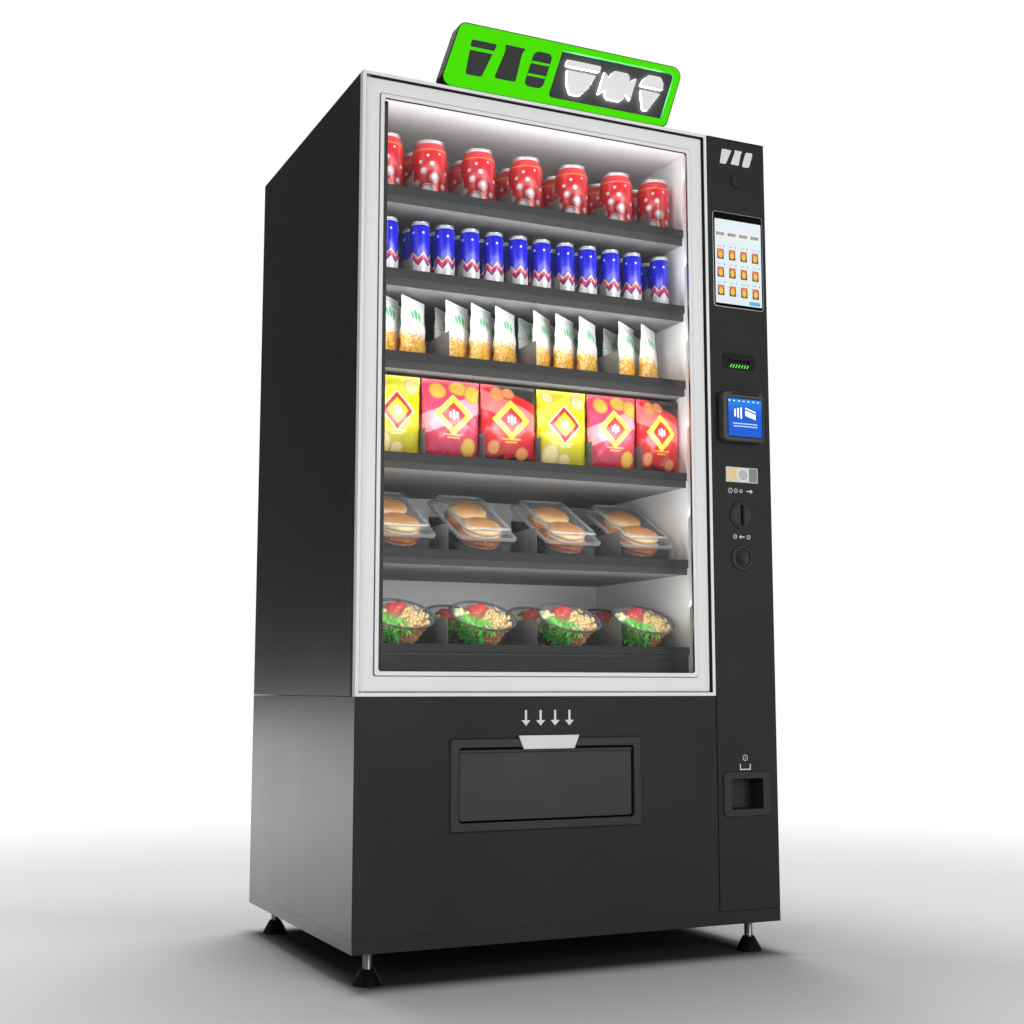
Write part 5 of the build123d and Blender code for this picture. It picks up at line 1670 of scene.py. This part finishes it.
def buildTouchscreen():
    centre, size, front = nodeFace("touchscreen")
    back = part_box("touchscreen")[1].y
    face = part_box("control_door")[0].y
    ledge = front + 0.0004
    rim = roundPlate("touchscreen", centre, size, 0.009, ledge, face - ledge, "rimSilver", edge=0.0005)
    glassSize = [side - 2 * screen["rim"] * mm for side in size]
    glass = roundPlate("glass", centre, glassSize, 0.0078, front, 0.001, "screenBlack", edge=0.0003)
    bezels = screen["bezelTop"] + screen["bezelFoot"]
    pageSize = (size[0] - 2 * screen["bezelSide"] * mm, size[1] - bezels * mm)
    pageCentre = (centre[0], centre[1] - (screen["bezelTop"] - screen["bezelFoot"]) / 2 * mm)
    page = roundPlate("page", pageCentre, pageSize, 0.0006, front - 0.0002, 0.0006, "screenPage")
    mapFront(page, pageCentre, pageSize)
    bodySize = [side - screen["bodyInset"] * mm for side in size]
    body = roundPlate("bodyBox", centre, bodySize, 0.004, face, back - face, "screenBlack", edge=0.0008)
    return joinAll("touchscreen", [rim, glass, page, body])


standFor(buildTouchscreen(), "touchscreen", flat=True)


# card reader: a deep rounded cushion of a housing with a page behind glass

reader = {
    "corner": 0.012, "cushion": 0.0045, "pageShift": (0.002, -0.003), "rim": (0.101, 0.096),
    "page": (0.0955, 0.0913), "slotShift": (0.004, 0.0545), "slot": (0.078, 0.005), "bodyInset": 0.008,
}


def shifted(centre, shift):
    return centre[0] + shift[0], centre[1] + shift[1]


def buildReader():
    centre, size, front = nodeFace("card_reader")
    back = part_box("card_reader")[1].y
    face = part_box("control_door")[0].y
    depth = face - front
    shell = roundPlate(
        "cardReader", centre, size, reader["corner"], front, depth, "readerPlastic", edge=reader["cushion"],
    )
    middle = shifted(centre, reader["pageShift"])
    rim = roundPlate("rim", middle, reader["rim"], 0.004, front - 0.0001, 0.0006, "screenBlack", edge=0.0003)
    page = roundPlate("page", middle, reader["page"], 0.001, front - 0.0003, 0.0005, "readerPage")
    mapFront(page, middle, reader["page"])
    slotMiddle = shifted(centre, reader["slotShift"])
    slot = roundPlate(
        "slot", slotMiddle, reader["slot"], 0.0015, front - 0.0002, 0.002, "deepBlack", edge=0.0006,
    )
    bodySize = [side - reader["bodyInset"] for side in size]
    body = roundPlate("bodyBox", centre, bodySize, 0.004, face, back - face, "readerPlastic", edge=0.001)
    return joinAll("cardReader", [shell, rim, page, slot, body])


standFor(buildReader(), "card_reader", flat=True)


# note acceptor: snout with a mouth and a row of lit slanting dashes

noteMouth = {
    "dashes": 7, "firstDash": (-0.0240, -0.0115), "pitch": 0.0080, "dash": (0.0021, 0.0085), "dashLean": 0.6,
    "lipShift": (0.037, -0.002), "lip": (0.011, 0.020),
}


def buildNoteAcceptor():
    body = easedCopy("note_acceptor", "noteAcceptor", 0.0008, "deepBlack")
    centre, _, front = nodeFace("note_acceptor")
    parts = [body]
    for step in range(noteMouth["dashes"]):
        place = shifted(
            centre, (noteMouth["firstDash"][0] + step * noteMouth["pitch"], noteMouth["firstDash"][1]),
        )
        dash = roundPlate(
            "dash", place, noteMouth["dash"], 0.0006, front - 0.0003, 0.001, "greenLed", lean=noteMouth["dashLean"],
        )
        parts.append(dash)
    for side in (-1, 1):
        place = shifted(centre, (side * noteMouth["lipShift"][0], noteMouth["lipShift"][1]))
        lip = roundPlate(
            "lip", place, noteMouth["lip"], 0.003, front - 0.0006, 0.002, "deepBlack", edge=0.0008,
        )
        parts.append(lip)
    return joinAll("noteAcceptor", parts)


standFor(buildNoteAcceptor(), "note_acceptor", flat=True)


# coin plate, coin bezel, change button, lock

def paintCoinPlate(tree, u, v):
    # three fields: warm metal with dots, pale with rings, grey with fine lines
    dots = objectNoise(tree, 900.0, 2.0)
    gold = layColor((0.55, 0.40, 0.18), softStep(dots, 0.5, 0.56), (0.78, 0.62, 0.34))
    grey = layColor((0.16, 0.16, 0.16), softStep(maths("SINE", v * 60.0), -0.2, 0.2), (0.24, 0.24, 0.24))
    color = layColor(gold, softStep(u, 0.335, 0.345), (0.60, 0.60, 0.61))
    color = layColor(color, softStep(u, 0.715, 0.725), grey)
    for radius in (0.30, 0.20, 0.10):
        outer = spotMask(u * 2.46, v, (0.53 * 2.46, 0.5), radius, 1.0, 0.015)
        inner = spotMask(u * 2.46, v, (0.53 * 2.46, 0.5), radius - 0.045, 1.0, 0.015)
        color = layColor(color, maths("SUBTRACT", outer, inner, clamp=True), (0.13, 0.13, 0.13))
    edge = bandMask(u, 0.5, 0.475, 0.004) * bandMask(v, 0.5, 0.43, 0.006)
    return layColor((0.45, 0.45, 0.46), edge, color)


printMaterial("coinPlatePrint", paintCoinPlate, (700.0, 0.35, 0.08, 0.1), metallic=0.3)
centre, size, front = nodeFace("coin_guide_plate")
coinPlate = roundPlate("coinGuidePlate", centre, size, 0.002, front, 0.0015, "coinPlatePrint", edge=0.0005)
mapFront(coinPlate, centre, size)
standFor(coinPlate, "coin_guide_plate", flat=True)


def buildCoinBezel():
    body = easedCopy("coin_slot_bezel", "coinSlotBezel", 0.0008, "bezelCoat")
    centre, size, front = nodeFace("coin_slot_bezel")
    outer = size[0] / 2
    ring = flatRing("ring", centre, outer - 0.0045, outer - 0.0060, front - 0.0006, 0.0012, "deepBlack")
    cheeks = []
    for side in (-1, 1):
        lip = roundPlate(
            "lip", (centre[0] + side * 0.0042, centre[1]), (0.0024, 0.050), 0.0011, front - 0.0007, 0.001,
            "deepBlack", edge=0.0003,
        )
        cheeks.append(lip)
    return joinAll("coinSlotBezel", [body, ring, *cheeks])


standFor(buildCoinBezel(), "coin_slot_bezel", flat=True)


def buildChangeButton():
    low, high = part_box("change_button")
    middle = (low + high) / 2
    radius = (high.x - low.x) / 2
    depth = high.y - low.y
    rings = [
        (0.4 * radius, -depth), (radius, -depth), (radius, -0.0018), (0.985 * radius, -0.0006),
        (0.93 * radius, 0.0), (0.80 * radius, -0.0002), (0.5 * radius, -0.0016), (0.2 * radius, -0.0022),
    ]
    button = turnShape("changeButton", rings, (middle.x, low.y, middle.z), facing="front", segments=48)
    return setFinish(button, "buttonBlack")


coatMaterial("buttonBlack", (0.012, 0.012, 0.012), roughness=0.42, specular=0.18)
standFor(easedCopy("change_bezel", "changeBezel", 0.0008, "bezelCoat"), "change_bezel", flat=True)
standFor(buildChangeButton(), "change_button", flat=True)


def buildLock():
    body = easedCopy("lock_plug", "lockPlug", 0.0005, "blackCoat")
    low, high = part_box("lock_plug")
    radius = (high.x - low.x) / 2
    centre = ((low.x + high.x) / 2, high.z - radius)
    ring = flatRing("ring", centre, radius - 0.0015, radius - 0.0027, low.y - 0.0004, 0.001, "deepBlack")
    key = roundPlate("keyway", centre, (0.0022, 0.0095), 0.0008, low.y - 0.0002, 0.0006, "deepBlack")
    return joinAll("lockPlug", [body, ring, key])


standFor(buildLock(), "lock_plug", flat=True)
print("column fitted")


# sign: lit face with dark raised pictograms, a recessed panel with glowing ones

signLean = 52 / 160


def signPoint(along, up):
    # along the lower edge and up, from the sign's lower left corner, in mm
    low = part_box("sign_housing")[0]
    corner = -346.0 * mm
    return (corner + along * mm + up * mm * signLean, low.z + up * mm)


def signShape(name, points, front, depth, finish, holes=(), edge=0.0006):
    plate = drawPlate(
        name, [signPoint(x, z) for x, z in points], depth,
        [[signPoint(x, z) for x, z in hole] for hole in holes],
    )
    moveMesh(plate, (0, front, 0))
    weldAndRound(plate, edge)
    return setFinish(plate, finish)


def roundCorners(points, radius, steps=4):
    # polygon with its corners rounded
    ringOut = []
    count = len(points)
    for index, point in enumerate(points):
        here = Vector(point)
        back = (Vector(points[index - 1]) - here)
        ahead = (Vector(points[(index + 1) % count]) - here)
        reach = min(radius, back.length / 2, ahead.length / 2)
        start, end = here + back.normalized() * reach, here + ahead.normalized() * reach
        for step in range(steps + 1):
            share = step / steps
            spot = start * (1 - share) ** 2 + here * 2 * share * (1 - share) + end * share ** 2
            ringOut.append((spot.x, spot.y))
    return ringOut


signMarks = {
    # outlines in mm along and up: tumbler, bag and can at the left; three snacks at the right
    "tumbler": [(40, 122), (104, 122), (92, 36), (52, 36)],
    "packet": [(122, 126), (176, 126), (170, 112), (176, 40), (122, 40), (128, 112)],
    "tin": [(198, 118), (206, 126), (238, 126), (246, 118), (246, 44), (238, 36), (206, 36), (198, 44)],
}

def buildSignMarks():
    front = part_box("sign_face")[0].y
    marks = [
        signShape(name, roundCorners(points, 6), front - 0.0006, 0.003, "signDark") for name,
        points in signMarks.items()
    ]
    for low, high, left, right in ((96, 104, 42, 102), (62, 68, 199, 245), (94, 100, 199, 245)):
        stripe = [(left, low), (right, low), (right, high), (left, high)]
        marks.append(signShape("stripe", stripe, front - 0.0008, 0.001, "signGreen", edge=0.0001))
    return joinAll("signMarks", marks)


insetLow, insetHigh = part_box("sign_inset")


def insideInset(centre, normal):
    # walls of the recess: painted light, a mint glow for the light the marks throw on them
    toward = (insetLow + insetHigh) / 2 - centre
    near = abs(toward.x) < 0.19 and abs(toward.z) < 0.066
    return near and abs(normal.y) < 0.5 and normal.x * toward.x + normal.z * toward.z > 0


# the recess walls' mint glow is painted light from the marks
easeNode("sign_face", "signFace", "signGreen", 0.0012, ["signMint"], insideInset)
finishPiece(buildSignMarks(), "cabinet", "sign_dark", flat=True)
print("sign dressed")

# sign: the marks in the recess, lit from their sides

glowMarks = {
    # outlines in mm along and up: a bowl with its rim, a wrapped sweet, a cone with its scoop
    "bowl": [(292, 96), (370, 96), (360, 62), (344, 38), (318, 38), (302, 62)],
    "bowlRim": [(286, 106), (376, 106), (376, 122), (286, 122)],
    "sweet": [
        (388, 50), (406, 66), (406, 54), (414, 44), (450, 44), (458, 54), (458, 66), (476, 50), (476, 112), (458, 96),
        (458, 108), (450, 118), (414, 118), (406, 108), (406, 96), (388, 112),
    ],
    "cone": [(494, 84), (550, 84), (528, 34), (516, 34)],
    "scoop": [(490, 94), (554, 94), (550, 112), (538, 126), (506, 126), (494, 112)],
}
glow = {"corner": 5.0, "gap": 0.3, "standOff": 0.6}


def buildGlowMarks():
    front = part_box("sign_face")[0].y + glow["standOff"] * mm
    depth = insetLow.y - front - glow["gap"] * mm
    marks = []
    for name, points in glowMarks.items():
        mark = signShape(name, roundCorners(points, glow["corner"]), front, depth, "signWhite", edge=0.0005)
        setFinish(mark, "signWhite", "signEdge")
        for face in mark.data.polygons:
            face.material_index = int(face.normal.y > -0.6)
        marks.append(mark)
    return joinAll("glowMarks", marks)


finishPiece(buildGlowMarks(), "cabinet", slotOf["sign_face"], flat=True)


# printed signs that stand where a maker would put words: plain pictures only

coatMaterial("printWhite", (0.66, 0.66, 0.66), roughness=0.5, bump=0.02, specular=0.15)
printing = {"proud": 0.25, "thick": 0.5}


def printShape(centre, points, front, size=1.0, holes=()):
    # outline in mm about a middle, laid on a face
    def placed(ring):
        return [(centre[0] + size * x * mm, centre[1] + size * z * mm) for x, z in ring]
    plate = drawPlate("print", placed(points), printing["thick"] * mm, [placed(hole) for hole in holes])
    moveMesh(plate, (0, front - printing["proud"] * mm, 0))
    return setFinish(plate, "printWhite")


def ringPoints(radius, steps=28):
    return [
        (radius * math.cos(math.tau * step / steps), radius * math.sin(math.tau * step / steps))
        for step in range(steps)
    ]


def printCoin(centre, front, radius, stroke=1.3):
    hole = list(reversed(ringPoints(radius - stroke)))
    pip = printShape(
        centre, [(-0.6, -0.35 * radius), (0.6, -0.35 * radius), (0.6, 0.35 * radius), (-0.6, 0.35 * radius)],
        front,
    )
    return [printShape(centre, ringPoints(radius), front, holes=[hole]), pip]


arrowDown = [(-2.6, 17), (2.6, 17), (2.6, -5), (11, -5), (0, -17), (-11, -5), (-2.6, -5)]


def turnPoints(points, angle):
    turn = Matrix.Rotation(math.radians(angle), 2)
    return [tuple(turn @ Vector(point)) for point in points]


def buildColumnPrints():
    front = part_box("control_door")[0].y
    middle = nodeMiddle("coin_slot_bezel").x
    coinLabel, changeLabel, returnMiddle = 1.0775, 0.967, 0.4355
    parts = []
    for name, points in signMarks.items():
        leant = [(x + z * signLean - 168, z - 81) for x, z in roundCorners(points, 6)]
        parts.append(printShape((middle + 0.003, 1.9075), leant, front, 0.44))
    for shift, radius in ((-0.030, 6.2), (-0.0145, 5.2), (0.0, 4.4)):
        parts += printCoin((middle + shift, coinLabel), front, radius)
    parts.append(printShape((middle + 0.025, coinLabel), turnPoints(arrowDown, 90), front, 0.5))
    for shift, radius in ((-0.019, 5.4), (0.019, 5.4)):
        parts += printCoin((middle + shift, changeLabel), front, radius)
    parts.append(printShape((middle, changeLabel), turnPoints(arrowDown, -90), front, 0.45))
    parts += printCoin((middle - 0.003, returnMiddle + 0.012), front, 7.0)
    tray = [(-15, 4), (-15, -10), (15, -10), (15, 4), (12.5, 4), (12.5, -7.5), (-12.5, -7.5), (-12.5, 4)]
    parts.append(printShape((middle - 0.003, returnMiddle - 0.006), tray, front))
    return joinAll("columnPrints", parts)


def buildPushPrints():
    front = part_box("lower_front_panel")[0].y
    middle = nodeMiddle("push_tab").x
    arrows = [
        printShape((middle + step * 0.0355, 0.5445), arrowDown, front) for step in (-1.5, -0.5, 0.5, 1.5)
    ]
    return joinAll("pushPrints", arrows)


finishPiece(buildColumnPrints(), bodyOf["control_door"], slotOf["push_tab"], flat=True)
finishPiece(buildPushPrints(), bodyOf["lower_front_panel"], slotOf["push_tab"], flat=True)
print("prints laid")


# leveling feet: polished pads on threaded stems

foot = {
    "inset": (53.0, 55.0), "pad": [(24, 0), (31, 0), (31, 3.2), (30, 4.2), (15, 30.5), (13, 33)],
    "stem": 9.9, "root": 9.3, "stemFoot": 31.0, "stemTop": 92.5, "pitch": 3.0,
}


def buildFeet():
    pad = turnShape(
        "levelingFeet", [(radius * mm, height * mm) for radius, height in foot["pad"]], segments=48,
    )
    setFinish(pad, "footBlack", "stemSteel")
    turns = int((foot["stemTop"] - foot["stemFoot"]) / foot["pitch"])
    rings = [(foot["root"] * mm, foot["stemFoot"] * mm)]
    for turn in range(turns):
        level = foot["stemFoot"] + turn * foot["pitch"]
        rings.append((foot["stem"] * mm, (level + 0.35 * foot["pitch"]) * mm))
        rings.append((foot["stem"] * mm, (level + 0.65 * foot["pitch"]) * mm))
        rings.append((foot["root"] * mm, (level + foot["pitch"]) * mm))
    stem = setFinish(turnShape("stem", rings, segments=28), "stemSteel")
    one = joinAll("levelingFeet", [pad, stem])
    low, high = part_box("base_plinth")
    across, along = foot["inset"]
    places = [
        (low.x + across * mm, low.y + along * mm), (high.x - across * mm, low.y + along * mm),
        (low.x + across * mm, high.y - along * mm), (high.x - across * mm, high.y - along * mm),
    ]
    feet = [copyMesh(one, "levelingFeet", (*place, 0.0)) for place in places]
    dropPiece(one)
    return joinAll("levelingFeet", feet)


standFor(buildFeet(), "leveling_feet", angle=40.0)
print("feet set")
